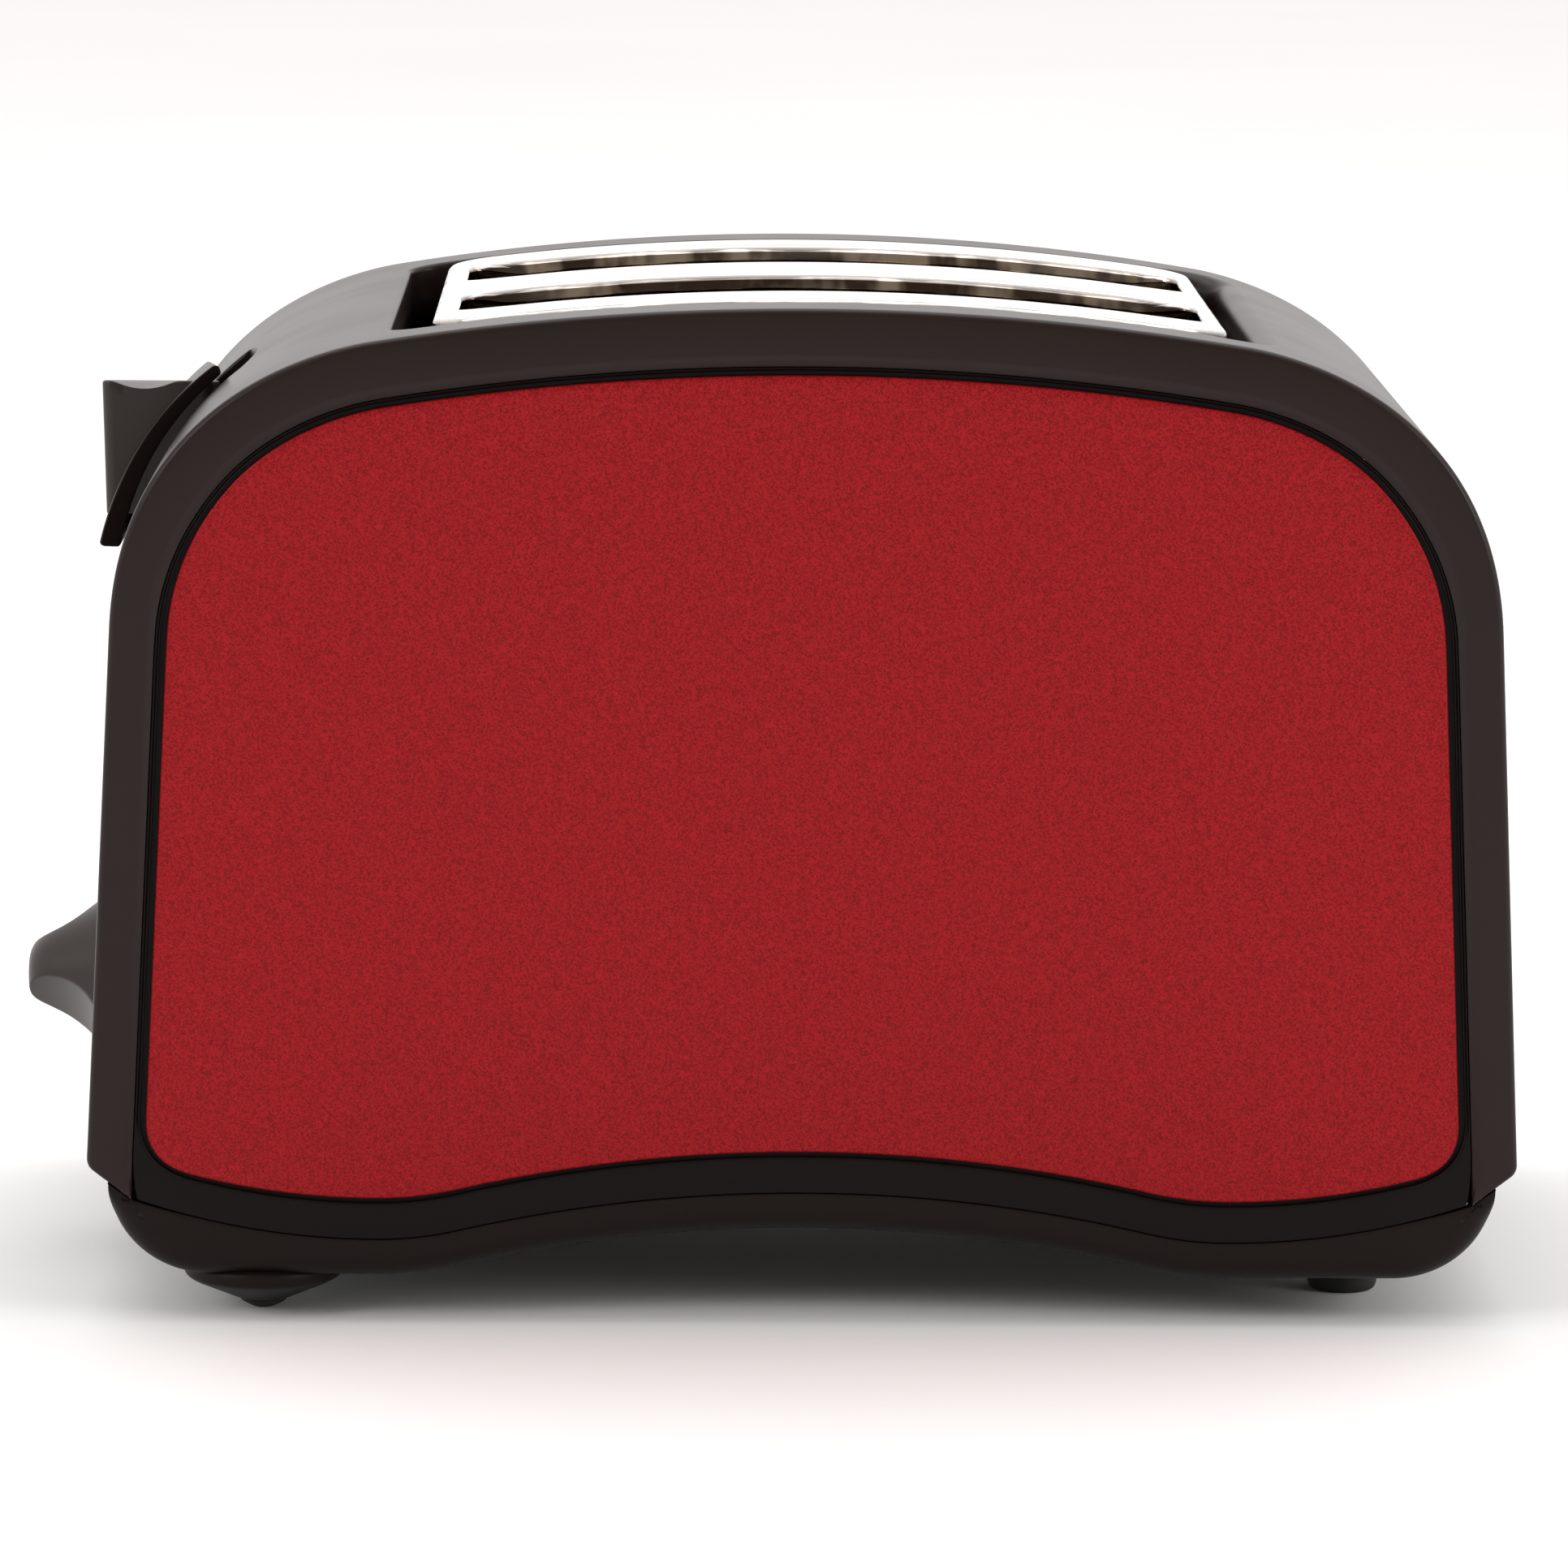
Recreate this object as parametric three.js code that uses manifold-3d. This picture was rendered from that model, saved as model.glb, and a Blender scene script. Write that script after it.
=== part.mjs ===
// Two-slice pop-up toaster with an arched plastic housing, inset metal side panels and a chrome slot plate.
// Millimetres, +Z up. X runs along the bread slots, with the lever and the browning knob at the -X end,
// and the front faces -Y. z = 0 is the surface that the feet stand on.
// The parts are laid out from the housing's middle plane. The whole group is then shifted along X, so that
// the origin is the middle of the toaster's bounding box, on the standing surface.
import * as THREE from 'three';
import { mergeVertices } from 'three/addons/utils/BufferGeometryUtils.js';
import Module from 'manifold-3d';

const wasm = await Module();
wasm.setup();

// Housing: an arch whose section is the same from front to back.
const DEPTH = 160;
const FRONT = -DEPTH / 2;
const CREST_Z = 189.5;
const ARCH_RADIUS = 491.5;
const ARCH_HALF_WIDTH = 80;
const SHOULDER = new THREE.Vector2(127.9, 130.1);
const LOWER_CORNER = new THREE.Vector2(132.6, 29.5);
const BEZEL_FOOT = new THREE.Vector2(124.2, 23.4);
const SHOULDER_TOP_HANDLE = 6.6;
const SHOULDER_SIDE_HANDLE = 43.9;
const WALL = 2.8;
const FLANGE = 3.6;
const LIP_BACK = 5.1;
const GAP = 0.3;

// Front and rear: bezel, inset cover and metal panel. Each inset is measured in from the housing's outline,
// at the crest and on the straight sides.
const BEZEL_INSET = { crest: 10.5, side: 8.4 };
const PANEL_INSET = { crest: 12.2, side: 10.6 };
const GROOVE = 0.9;
const LIP = 2.6;
const COVER_FACE = 0.8;
const COVER_BACK = 3.2;
const PANEL_FACE = 1.0;
const PANEL_THICKNESS = 0.8;
const RECESS_FLOOR = 2.1;
const PANEL_ABOVE_SEAM = 7.6;
const PANEL_CORNER = 8;

// Wavy seam between cover and base: a wide crown, a small valley each side of it, and a rising end.
const SEAM_CREST_Z = 25.2;
const CROWN_RADIUS = 280;
const CROWN_HALF_WIDTH = 64;
const VALLEY_RADIUS = 65;
const END_RADIUS = 139;

// Base
const BASE_BAND = 7.4;
const BASE_END = { x: 110, z: 25.9, width: 18.6 };
const BASE_FACE = 0.8;
const BASE_WALL = 2.5;
const BASE_END_WALL = 3.2;
const FEET = {
  left: { x: -100.6, y: 63.7 },
  right: { x: 103.4, y: 44 },
};

// Chrome slot plate and the bread cage under it
const PLATE = { x0: -69.5, x1: 78, halfDepth: 60, rise: 0.5, sheet: 1.2, skirt: 6, corner: 9 };
const TOP_OPENING = { x0: -77, x1: 83, halfDepth: 65, corner: 7 };
const SLOT = { x0: -65, x1: 75, near: 12.5, far: 46.5, corner: 3 };
const SLOT_CENTRE = (SLOT.near + SLOT.far) / 2;
const CAGE = { x0: -70.2, x1: 79, halfDepth: 61, z0: 28, z1: 175, sheet: 1 };
const BOARD = { z0: 42, z1: 170, thickness: 1, y: 55 };
const GUARD = { offset: 15.5, z0: 44, z1: 170, wire: 0.8, x0: -60, pitch: 22, count: 7 };
const HEATER = { x0: -58, x1: 70, z0: 56, pitch: 9, rows: 12, width: 2.2, thickness: 0.5 };

// Carriage, lever and latch
const TRAVEL = 45;
const RACK = { z0: 86, z1: 92, x0: -75.7, x1: 84, halfWidth: 8, sheet: 1.5 };
const BRACKET = { x0: -77.5, x1: -76, z0: 84, z1: 156, crossbarZ: 136, halfWidth: 40, leg: 6 };
const ARM = { x0: -110, x1: -92, halfWidth: 2.5, z0: 136, z1: 143 };
const GUIDE = { x: -84, radius: 3, z0: 30, z1: 174 };
const SPRING = { radius: 5, wire: 0.7, turns: 12, z0: 35.5, z1: 135.7 };
const MAGNET = { x: -88, y: 29.5, post: 4, coil: 8.6, z0: 31, z1: 50.4 };
const TROUGH = { floor: -104.7, bow: 2.3, halfWidth: 17.5, z0: 88, wall: 2.5 };
const SHIELD = { halfWidth: 16, bottomZ: 136.8, topZ: 170.4, topX: -109.9, bottomX: -130.5, thickness: 3.7 };
const KNOB_BLOCK = { halfWidth: 12.5, x: -133.3, topZ: 168.6, topFall: 6 };

// Browning control, cancel button and their board
const DIAL = { z: 51.5, backX: -132.7, tipX: -149.3, radius: 15.5, barTurn: -35 };
const CONTROL_BOARD = { x0: -114, x1: -112.4, halfWidth: 42, z0: 34, z1: 80 };
const CANCEL = { y: 33, z: 62, radius: 4.6, faceX: -133, travel: 1.5 };

// Crumb tray, cord inlet and screws
const TRAY = { x0: -68, x1: 124, halfWidth: 50, z0: 21, z1: 25, sheet: 0.9 };
const TRAY_HANDLE = { z0: 16.4, z1: 25.2, x0: 122, clearance: 0.4 };
const GLAND = { x: -62, z: 18.9, radius: 4.5, flange: 5.1, bore: 3.2 };
const BASE_SCREW = { x: 119, y: 60, shank: 1.5, head: 3.4 };
const CHASSIS_SCREW = { y: 56, shank: 1.5, head: 3, flangeX: 10 };

// The middle of the box between the knob's tip and the housing's right lower corner becomes X = 0.
const SHIFT_X = -(DIAL.tipX + LOWER_CORNER.x) / 2;

const CHARCOAL = 0x2d2826;
const NEAR_BLACK = 0x191614;
const RUBBER = 0x1c1b1a;
const RED = 0xa51e23;
const STEEL = 0xb8b9bb;
const MICA = 0xa79a80;
const finish = {
  charcoal: { color: CHARCOAL, roughness: 0.5, metalness: 0 },
  nearBlack: { color: NEAR_BLACK, roughness: 0.55, metalness: 0 },
  rubber: { color: RUBBER, roughness: 0.85, metalness: 0 },
  red: { color: RED, roughness: 0.35, metalness: 0.6 },
  chrome: { color: 0xd8d4cf, roughness: 0.06, metalness: 1 },
  steel: { color: STEEL, roughness: 0.35, metalness: 1 },
  zinc: { color: 0x9a9c9e, roughness: 0.45, metalness: 1 },
  mica: { color: MICA, roughness: 0.6, metalness: 0.1 },
  ribbon: { color: 0x5f5a57, roughness: 0.5, metalness: 0.9 },
  copper: { color: 0xa9622d, roughness: 0.35, metalness: 0.8 },
  board: { color: 0x2f6b3c, roughness: 0.5, metalness: 0 },
  cream: { color: 0xd9d3c2, roughness: 0.55, metalness: 0 },
};

const toaster = new THREE.Group();
toaster.position.x = SHIFT_X;

// ---- solids

function solid(geometry) {
  const bare = geometry.index ? geometry.clone() : geometry;
  bare.deleteAttribute('normal');
  bare.deleteAttribute('uv');
  const merged = mergeVertices(bare, 1e-4);
  const mesh = new wasm.Mesh({
    numProp: 3,
    vertProperties: new Float32Array(merged.attributes.position.array),
    triVerts: new Uint32Array(merged.index.array),
  });
  mesh.merge();
  return new wasm.Manifold(mesh);
}

function add(name, shape, look) {
  const mesh = shape.getMesh();
  const geometry = new THREE.BufferGeometry();
  geometry.setAttribute('position', new THREE.BufferAttribute(new Float32Array(mesh.vertProperties), 3));
  geometry.setIndex(new THREE.BufferAttribute(new Uint32Array(mesh.triVerts), 1));
  geometry.computeVertexNormals();
  const node = new THREE.Mesh(geometry, new THREE.MeshStandardMaterial(finish[look]));
  node.name = name;
  toaster.add(node);
}

function box(x0, x1, y0, y1, z0, z1) {
  const geometry = new THREE.BoxGeometry(x1 - x0, y1 - y0, z1 - z0);
  geometry.translate((x0 + x1) / 2, (y0 + y1) / 2, (z0 + z1) / 2);
  return solid(geometry);
}

function join(shapes) {
  return shapes.reduce((whole, shape) => whole.add(shape));
}

// A shape drawn in X and Z, carried along Y.
function alongY(shape, y0, y1) {
  const geometry = new THREE.ExtrudeGeometry(shape, { depth: y1 - y0, bevelEnabled: false });
  geometry.rotateX(Math.PI / 2);
  geometry.translate(0, y1, 0);
  return solid(geometry);
}

// A shape drawn in X and Y, carried up Z.
function alongZ(shape, z0, z1) {
  const geometry = new THREE.ExtrudeGeometry(shape, { depth: z1 - z0, bevelEnabled: false, curveSegments: 3 });
  geometry.translate(0, 0, z0);
  return solid(geometry);
}

function roundBar(axis, radius, from, to, across, sides = 16) {
  const geometry = new THREE.CylinderGeometry(radius, radius, to - from, sides);
  const middle = (from + to) / 2;
  if (axis === 'x') {
    geometry.rotateZ(-Math.PI / 2);
    geometry.translate(middle, across[0], across[1]);
  } else if (axis === 'y') {
    geometry.translate(across[0], middle, across[1]);
  } else {
    geometry.rotateX(Math.PI / 2);
    geometry.translate(across[0], across[1], middle);
  }
  return solid(geometry);
}

// A turned solid about a vertical axis, from [radius, z] pairs that start and end on the axis.
function turned(profile, x, y, sides = 16) {
  const geometry = new THREE.LatheGeometry(profile.map(([r, z]) => new THREE.Vector2(r, z)), sides);
  geometry.rotateX(Math.PI / 2);
  geometry.translate(x, y, 0);
  return solid(geometry);
}

function roundedRectangle(x0, x1, y0, y1, radius) {
  const shape = new THREE.Shape();
  shape.moveTo(x0 + radius, y0);
  shape.lineTo(x1 - radius, y0);
  shape.absarc(x1 - radius, y0 + radius, radius, -Math.PI / 2, 0);
  shape.lineTo(x1, y1 - radius);
  shape.absarc(x1 - radius, y1 - radius, radius, 0, Math.PI / 2);
  shape.lineTo(x0 + radius, y1);
  shape.absarc(x0 + radius, y1 - radius, radius, Math.PI / 2, Math.PI);
  shape.lineTo(x0, y0 + radius);
  shape.absarc(x0 + radius, y0 + radius, radius, Math.PI, 1.5 * Math.PI);
  return shape;
}

// ---- outlines, drawn in X and Z from the crest round the right side to the bottom, then mirrored

function archZ(x, radiusChange = 0) {
  const radius = ARCH_RADIUS + radiusChange;
  return CREST_Z - ARCH_RADIUS + Math.sqrt(radius * radius - x * x);
}

function outlineCurves() {
  const end = Math.acos(ARCH_HALF_WIDTH / ARCH_RADIUS);
  const arch = new THREE.EllipseCurve(
    0, CREST_Z - ARCH_RADIUS, ARCH_RADIUS, ARCH_RADIUS, Math.PI / 2, end, true);
  const start = new THREE.Vector2(ARCH_HALF_WIDTH, archZ(ARCH_HALF_WIDTH));
  const archDirection = new THREE.Vector2(Math.sin(end), -Math.cos(end));
  const sideDirection = LOWER_CORNER.clone().sub(SHOULDER).normalize();
  const shoulder = new THREE.CubicBezierCurve(
    start,
    start.clone().addScaledVector(archDirection, SHOULDER_TOP_HANDLE),
    SHOULDER.clone().addScaledVector(sideDirection, -SHOULDER_SIDE_HANDLE),
    SHOULDER,
  );
  const side = new THREE.LineCurve(SHOULDER, LOWER_CORNER);
  return [[arch, 6], [shoulder, 13], [side, 1]];
}

function insetSide(insetAt) {
  const points = [];
  for (const [curve, steps] of outlineCurves()) {
    for (let i = points.length ? 1 : 0; i <= steps; i += 1) {
      const point = curve.getPoint(i / steps);
      const tangent = curve.getTangent(i / steps);
      const inset = insetAt(point.y);
      points.push(new THREE.Vector2(point.x + tangent.y * inset, point.y - tangent.x * inset));
    }
  }
  points[0].x = 0;
  return points;
}

// An inset that changes smoothly from its crest value to its side value over the shoulder.
function blendedInset(inset, extra = 0) {
  return (z) => {
    const side = THREE.MathUtils.smoothstep(-z, -165, -125);
    return THREE.MathUtils.lerp(inset.crest, inset.side, side) + extra;
  };
}

function mirrored(half) {
  const left = half.filter((point) => point.x > 1e-6).map((point) => new THREE.Vector2(-point.x, point.y));
  return new THREE.Shape([...half, ...left.reverse()]);
}

function seamZ(x) {
  const across = Math.abs(x);
  const crown = (u) => SEAM_CREST_Z - CROWN_RADIUS + Math.sqrt(CROWN_RADIUS ** 2 - u * u);
  if (across <= CROWN_HALF_WIDTH) {
    return crown(across);
  }
  const slope = Math.asin(CROWN_HALF_WIDTH / CROWN_RADIUS);
  const valleyX = CROWN_HALF_WIDTH + VALLEY_RADIUS * Math.sin(slope);
  const valleyZ = crown(CROWN_HALF_WIDTH) - VALLEY_RADIUS * (1 - Math.cos(slope));
  const radius = across < valleyX ? VALLEY_RADIUS : END_RADIUS;
  return valleyZ + radius - Math.sqrt(radius ** 2 - (across - valleyX) ** 2);
}

function seamPoints(fromX, toX, rise, steps) {
  const points = [];
  for (let i = 0; i <= steps; i += 1) {
    const x = THREE.MathUtils.lerp(fromX, toX, i / steps);
    points.push(new THREE.Vector2(x, seamZ(x) + rise));
  }
  return points;
}

const down = (points, z) => [...points, new THREE.Vector2(points.at(-1).x, z), new THREE.Vector2(0, z)];

function housingOutline() {
  return mirrored([...insetSide(() => 0), BEZEL_FOOT, new THREE.Vector2(0, BEZEL_FOOT.y)]);
}

function coverOutline() {
  const sides = insetSide(blendedInset(BEZEL_INSET, GAP));
  return mirrored([...sides, ...seamPoints(sides.at(-1).x, 0, 0, 16)]);
}

// The panel's outline follows the housing, turns a rounded lower corner and runs along the seam.
function panelOutline(grow) {
  const sides = insetSide(blendedInset(PANEL_INSET, -grow));
  const end = sides.at(-1);
  const rise = PANEL_ABOVE_SEAM - grow;
  const radius = PANEL_CORNER + grow;
  const cornerZ = seamZ(end.x) + rise;
  const lean = (end.x - sides.at(-2).x) / (sides.at(-2).y - end.y);
  const start = new THREE.Vector2(end.x - radius * lean, cornerZ + radius);
  const finishX = end.x - radius;
  const corner = new THREE.QuadraticBezierCurve(
    start,
    new THREE.Vector2(end.x, cornerZ),
    new THREE.Vector2(finishX, seamZ(finishX) + rise),
  );
  return mirrored([...sides.slice(0, -1), ...corner.getPoints(5), ...seamPoints(finishX, 0, rise, 14).slice(1)]);
}

// The base from its middle to one end: wavy underside, level stretch, and an elliptical end.
function baseUnderside(inset) {
  const points = seamPoints(0, CROWN_HALF_WIDTH + 14.8, inset - BASE_BAND, 9);
  const levelZ = points.at(-1).y;
  const height = BASE_END.z - levelZ;
  const end = new THREE.EllipseCurve(
    BASE_END.x, BASE_END.z, BASE_END.width - inset, height, 1.5 * Math.PI, 2 * Math.PI, false);
  return [...points, ...end.getPoints(7)];
}

function baseOutline() {
  const under = baseUnderside(0);
  const corner = new THREE.Vector2(BEZEL_FOOT.x, BEZEL_FOOT.y - GAP);
  const top = seamPoints(BEZEL_FOOT.x - 1, 0, -GAP, 16);
  return mirrored([...under, corner, ...top]);
}

// The space above the base's underside, grown inwards by inset and open up to topZ.
function aboveBase(inset, topZ) {
  const under = baseUnderside(inset);
  return mirrored([...under, ...down([under.at(-1)], topZ).slice(1)]);
}

// ---- housing, covers and panels

function housingShell() {
  const outer = alongY(housingOutline(), FRONT, -FRONT);
  const innerSide = insetSide(() => WALL);
  const hollow = alongY(mirrored(down(innerSide, -5)), FRONT + LIP_BACK, -FRONT - LIP_BACK);
  const throughLips = alongY(mirrored(down(insetSide(blendedInset(BEZEL_INSET, LIP)), -6)), FRONT - 2, 2 - FRONT);
  const seat = mirrored(down(insetSide(blendedInset(BEZEL_INSET)), -7));
  const seats = [alongY(seat, FRONT - 1, FRONT + FLANGE), alongY(seat, -FRONT - FLANGE, 1 - FRONT)];
  const top = TOP_OPENING;
  const topHole = alongZ(roundedRectangle(top.x0, top.x1, -top.halfDepth, top.halfDepth, top.corner), 150, 200);
  let shell = outer.subtract(hollow).subtract(throughLips).subtract(join(seats));
  shell = shell.add(outer.intersect(troughBlock(TROUGH.wall))).subtract(troughBlock(0)).subtract(topHole);
  shell = shell.subtract(box(-110, -100, -ARM.halfWidth - 0.8, ARM.halfWidth + 0.8, ARM.z0 - TRAVEL - 1.5, ARM.z1 + 1.5));
  for (const x of [-BASE_SCREW.x, BASE_SCREW.x]) {
    for (const y of [-BASE_SCREW.y, BASE_SCREW.y]) {
      const post = box(Math.min(x * 0.958, x * 1.1), Math.max(x * 0.958, x * 1.1), y - 5, y + 5, 29.8, 50);
      shell = shell.add(outer.intersect(post));
      shell = shell.subtract(roundBar('z', BASE_SCREW.shank + GAP, 29, 46, [x, y], 12));
    }
  }
  shell = shell.subtract(roundBar('x', 5, -140, -125, [0, DIAL.z], 20));
  return shell.subtract(roundBar('x', CANCEL.radius + 0.5, -140, -125, [CANCEL.y, CANCEL.z], 20));
}

// The upright trough that the lever's shield sinks into; its floor bows inwards. grow adds its wall.
function troughBlock(grow) {
  const half = TROUGH.halfWidth + grow;
  const edge = TROUGH.floor - TROUGH.bow + grow;
  const plan = new THREE.Shape();
  plan.moveTo(-145, -half);
  plan.lineTo(edge, -half);
  plan.quadraticCurveTo(edge + 2 * TROUGH.bow, 0, edge, half);
  plan.lineTo(-145, half);
  return alongZ(plan, TROUGH.z0 - grow, 200);
}

function facing(side, near, far) {
  const a = side * (-FRONT - near);
  const b = side * (-FRONT - far);
  return [Math.min(a, b), Math.max(a, b)];
}

function cover(side) {
  const plate = alongY(coverOutline(), ...facing(side, COVER_FACE, COVER_BACK));
  const recess = alongY(panelOutline(GROOVE), ...facing(side, -5, RECESS_FLOOR));
  const whole = plate.subtract(recess);
  return side < 0 ? whole : whole.subtract(glandHole());
}

function panel(side) {
  return alongY(panelOutline(0), ...facing(side, PANEL_FACE, PANEL_FACE + PANEL_THICKNESS));
}

function glandHole() {
  return roundBar('y', GLAND.radius + GAP, 65, 90, [GLAND.x, GLAND.z], 20);
}

// ---- base, feet, crumb tray and cord inlet

function basePan() {
  const edge = -FRONT - BASE_FACE;
  const outer = alongY(baseOutline(), -edge, edge);
  const tall = alongY(aboveBase(0, 60), -edge, edge);
  const hollow = alongY(aboveBase(BASE_WALL, 60), -edge + BASE_END_WALL, edge - BASE_END_WALL);
  const lip = mirrored([...seamPoints(0, 118, 2.5, 10), ...seamPoints(118, 0, -4, 10)]);
  const lips = [-76.4, 74.9].map((y) => alongY(lip, y, y + 1.5));
  const inside = [];
  for (const y of [-TRAY.halfWidth - 2.2, TRAY.halfWidth + 0.6]) {
    inside.push(box(-75, 112, y, y + 1.6, 5, 24));
  }
  for (const x of [-BASE_SCREW.x, BASE_SCREW.x]) {
    for (const y of [-BASE_SCREW.y, BASE_SCREW.y]) {
      inside.push(roundBar('z', 5.5, 5, 29.4, [x, y]));
    }
  }
  for (const [x, y] of chassisScrews()) {
    inside.push(roundBar('z', 4, 5, CAGE.z0 - GAP, [x, y], 12));
  }
  const bosses = [];
  for (const side of [-1, 1]) {
    bosses.push(turned([[0, 2.7], [4.4, 2.7], [9.2, 3.6], [12, 4.8], [13, 6.2], [13.4, 9.8], [0, 9.8]],
      FEET.left.x, side * FEET.left.y));
    bosses.push(turned([[0, 5.5], [8.5, 5.5], [11.2, 6.3], [12, 9.8], [0, 9.8]], FEET.right.x, side * FEET.right.y));
  }
  const inner = join(inside).intersect(tall);
  let pan = join([outer.subtract(hollow), ...lips, inner, ...bosses]);
  for (const x of [-BASE_SCREW.x, BASE_SCREW.x]) {
    for (const y of [-BASE_SCREW.y, BASE_SCREW.y]) {
      pan = pan.subtract(roundBar('z', BASE_SCREW.shank + GAP, 0, 40, [x, y], 12));
      pan = pan.subtract(roundBar('z', BASE_SCREW.head + 0.6, 0, 22, [x, y], 16));
    }
  }
  for (const [x, y] of chassisScrews()) {
    pan = pan.subtract(roundBar('z', CHASSIS_SCREW.shank + GAP, 19, 40, [x, y], 12));
  }
  const exit = TRAY.halfWidth + 1;
  pan = pan.subtract(box(115, 140, -exit, exit, TRAY_HANDLE.z0 - TRAY_HANDLE.clearance, 60));
  for (let x = -54; x <= 54; x += 18) {
    pan = pan.subtract(box(x - 1.5, x + 1.5, -40, -10, 5, 26));
    pan = pan.subtract(box(x - 1.5, x + 1.5, 10, 40, 5, 26));
  }
  return pan.subtract(glandHole());
}

function rubberTip(x, y) {
  return turned([[0, 0], [2.2, 0], [3.2, 0.5], [4.1, 2.4], [0, 2.4]], x, y);
}

function rubberPad(x, y) {
  return turned([[0, 0], [5.4, 0], [6.3, 0.4], [6.6, 1.2], [6.6, 5.2], [0, 5.2]], x, y);
}

function crumbTray() {
  const { x0, x1, halfWidth, z0, z1, sheet } = TRAY;
  const block = box(x0, x1, -halfWidth, halfWidth, z0, z1);
  const hollow = box(x0 + sheet, x1 - 2, -halfWidth + sheet, halfWidth - sheet, z0 + sheet, z1 + 5);
  const handleX = TRAY_HANDLE.x0;
  const face = alongY(aboveBase(0, 60), -halfWidth - 0.6, halfWidth + 0.6);
  const handle = face.intersect(box(handleX, 140, -halfWidth - 0.6, halfWidth + 0.6, TRAY_HANDLE.z0, TRAY_HANDLE.z1));
  return block.subtract(hollow).intersect(face).add(handle);
}

function cordGland() {
  const tube = roundBar('y', GLAND.radius, 70, 79.9, [GLAND.x, GLAND.z], 20);
  const flange = roundBar('y', GLAND.flange, 71, 73.5, [GLAND.x, GLAND.z], 20);
  return tube.add(flange).subtract(roundBar('y', GLAND.bore, 60, 90, [GLAND.x, GLAND.z], 16));
}

function screw(x, y, headZ, headHeight, tipZ, size, headBelow) {
  const head = roundBar('z', size.head, headZ, headZ + headHeight, [x, y], 12);
  const shankFrom = headBelow ? headZ + headHeight - 0.1 : tipZ;
  const shankTo = headBelow ? tipZ : headZ + 0.1;
  const shank = roundBar('z', size.shank, shankFrom, shankTo, [x, y], 8);
  const slotZ = headBelow ? headZ : headZ + headHeight;
  return head.add(shank).subtract(box(x - 2, x + 2, y - 0.4, y + 0.4, slotZ - 0.8, slotZ + 0.8));
}

function chassisScrews() {
  const leftX = CAGE.x0 - CHASSIS_SCREW.flangeX / 2 - 1;
  const rightX = CAGE.x1 + CHASSIS_SCREW.flangeX / 2 + 1;
  const { y } = CHASSIS_SCREW;
  return [[leftX, -y], [leftX, y], [rightX, -y], [rightX, y]];
}

// ---- slot plate and bread cage

function archBand(upper, lower, x0, x1) {
  const points = [];
  const steps = 16;
  for (let i = 0; i <= steps; i += 1) {
    const x = THREE.MathUtils.lerp(x0, x1, i / steps);
    points.push(new THREE.Vector2(x, archZ(x, upper)));
  }
  for (let i = steps; i >= 0; i -= 1) {
    const x = THREE.MathUtils.lerp(x0, x1, i / steps);
    points.push(new THREE.Vector2(x, archZ(x, lower)));
  }
  return alongY(new THREE.Shape(points), -100, 100);
}

function slotColumn(side, grow) {
  const y0 = side < 0 ? -SLOT.far : SLOT.near;
  const y1 = side < 0 ? -SLOT.near : SLOT.far;
  return alongZ(roundedRectangle(SLOT.x0 - grow, SLOT.x1 + grow, y0 - grow, y1 + grow, SLOT.corner + grow), 150, 200);
}

function slotPlate() {
  const { x0, x1, halfDepth, rise, sheet, skirt, corner } = PLATE;
  const plan = alongZ(roundedRectangle(x0, x1, -halfDepth, halfDepth, corner), 150, 200);
  const inner = alongZ(
    roundedRectangle(x0 + sheet, x1 - sheet, sheet - halfDepth, halfDepth - sheet, corner - sheet), 150, 200);
  const pan = archBand(rise, rise - skirt, -90, 90).intersect(plan);
  const hollow = archBand(rise - sheet, rise - skirt - 2, -90, 90).intersect(inner);
  const skirts = [-1, 1].map((side) => slotColumn(side, sheet).intersect(archBand(rise - 0.2, rise - skirt, -90, 90)));
  return join([pan.subtract(hollow), ...skirts]).subtract(slotColumn(-1, 0)).subtract(slotColumn(1, 0));
}

function cageEnd(side) {
  const x0 = side < 0 ? CAGE.x0 - CAGE.sheet : CAGE.x1;
  const x1 = x0 + CAGE.sheet;
  const outward = side < 0 ? [x0 - CHASSIS_SCREW.flangeX, x1] : [x0, x1 + CHASSIS_SCREW.flangeX];
  let end = box(x0, x1, -CAGE.halfDepth, CAGE.halfDepth, CAGE.z0, CAGE.z1);
  end = end.add(box(...outward, -CAGE.halfDepth, CAGE.halfDepth, CAGE.z0, CAGE.z0 + CAGE.sheet));
  for (const y of [-SLOT_CENTRE, SLOT_CENTRE]) {
    end = end.subtract(box(x0 - 1, x1 + 1, y - 2, y + 2, RACK.z0 - TRAVEL - 3, RACK.z1 + 3));
    for (const offset of [-GUARD.offset, GUARD.offset]) {
      end = end.subtract(roundBar('x', 1.5, x0 - 1, x1 + 1, [y + offset, GUARD.z0], 12));
    }
  }
  for (const [x, y] of chassisScrews()) {
    end = end.subtract(roundBar('z', CHASSIS_SCREW.shank + GAP, CAGE.z0 - 1, CAGE.z0 + 3, [x, y], 12));
  }
  return side < 0 ? end.add(guideTabs()) : end;
}

// Two tabs bent from the left end plate hold the carriage's guide rod.
function guideTabs() {
  const tabs = [33.8, 171.5].map((z) => box(GUIDE.x - 8, CAGE.x0 - 0.5, -8, 8, z, z + 1.2));
  const hole = roundBar('z', GUIDE.radius + GAP, 30, 180, [GUIDE.x, 0]);
  return join(tabs).subtract(hole);
}

function reflector(side) {
  const y = side * (CAGE.halfDepth - 1.5);
  const upright = box(CAGE.x0 + GAP, CAGE.x1 - GAP, y - 0.4, y + 0.4, 30, 174);
  const foot = box(CAGE.x0 + GAP, CAGE.x1 - GAP, Math.min(y, y - side * 6), Math.max(y, y - side * 6), 30, 30.8);
  return upright.add(foot);
}

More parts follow.
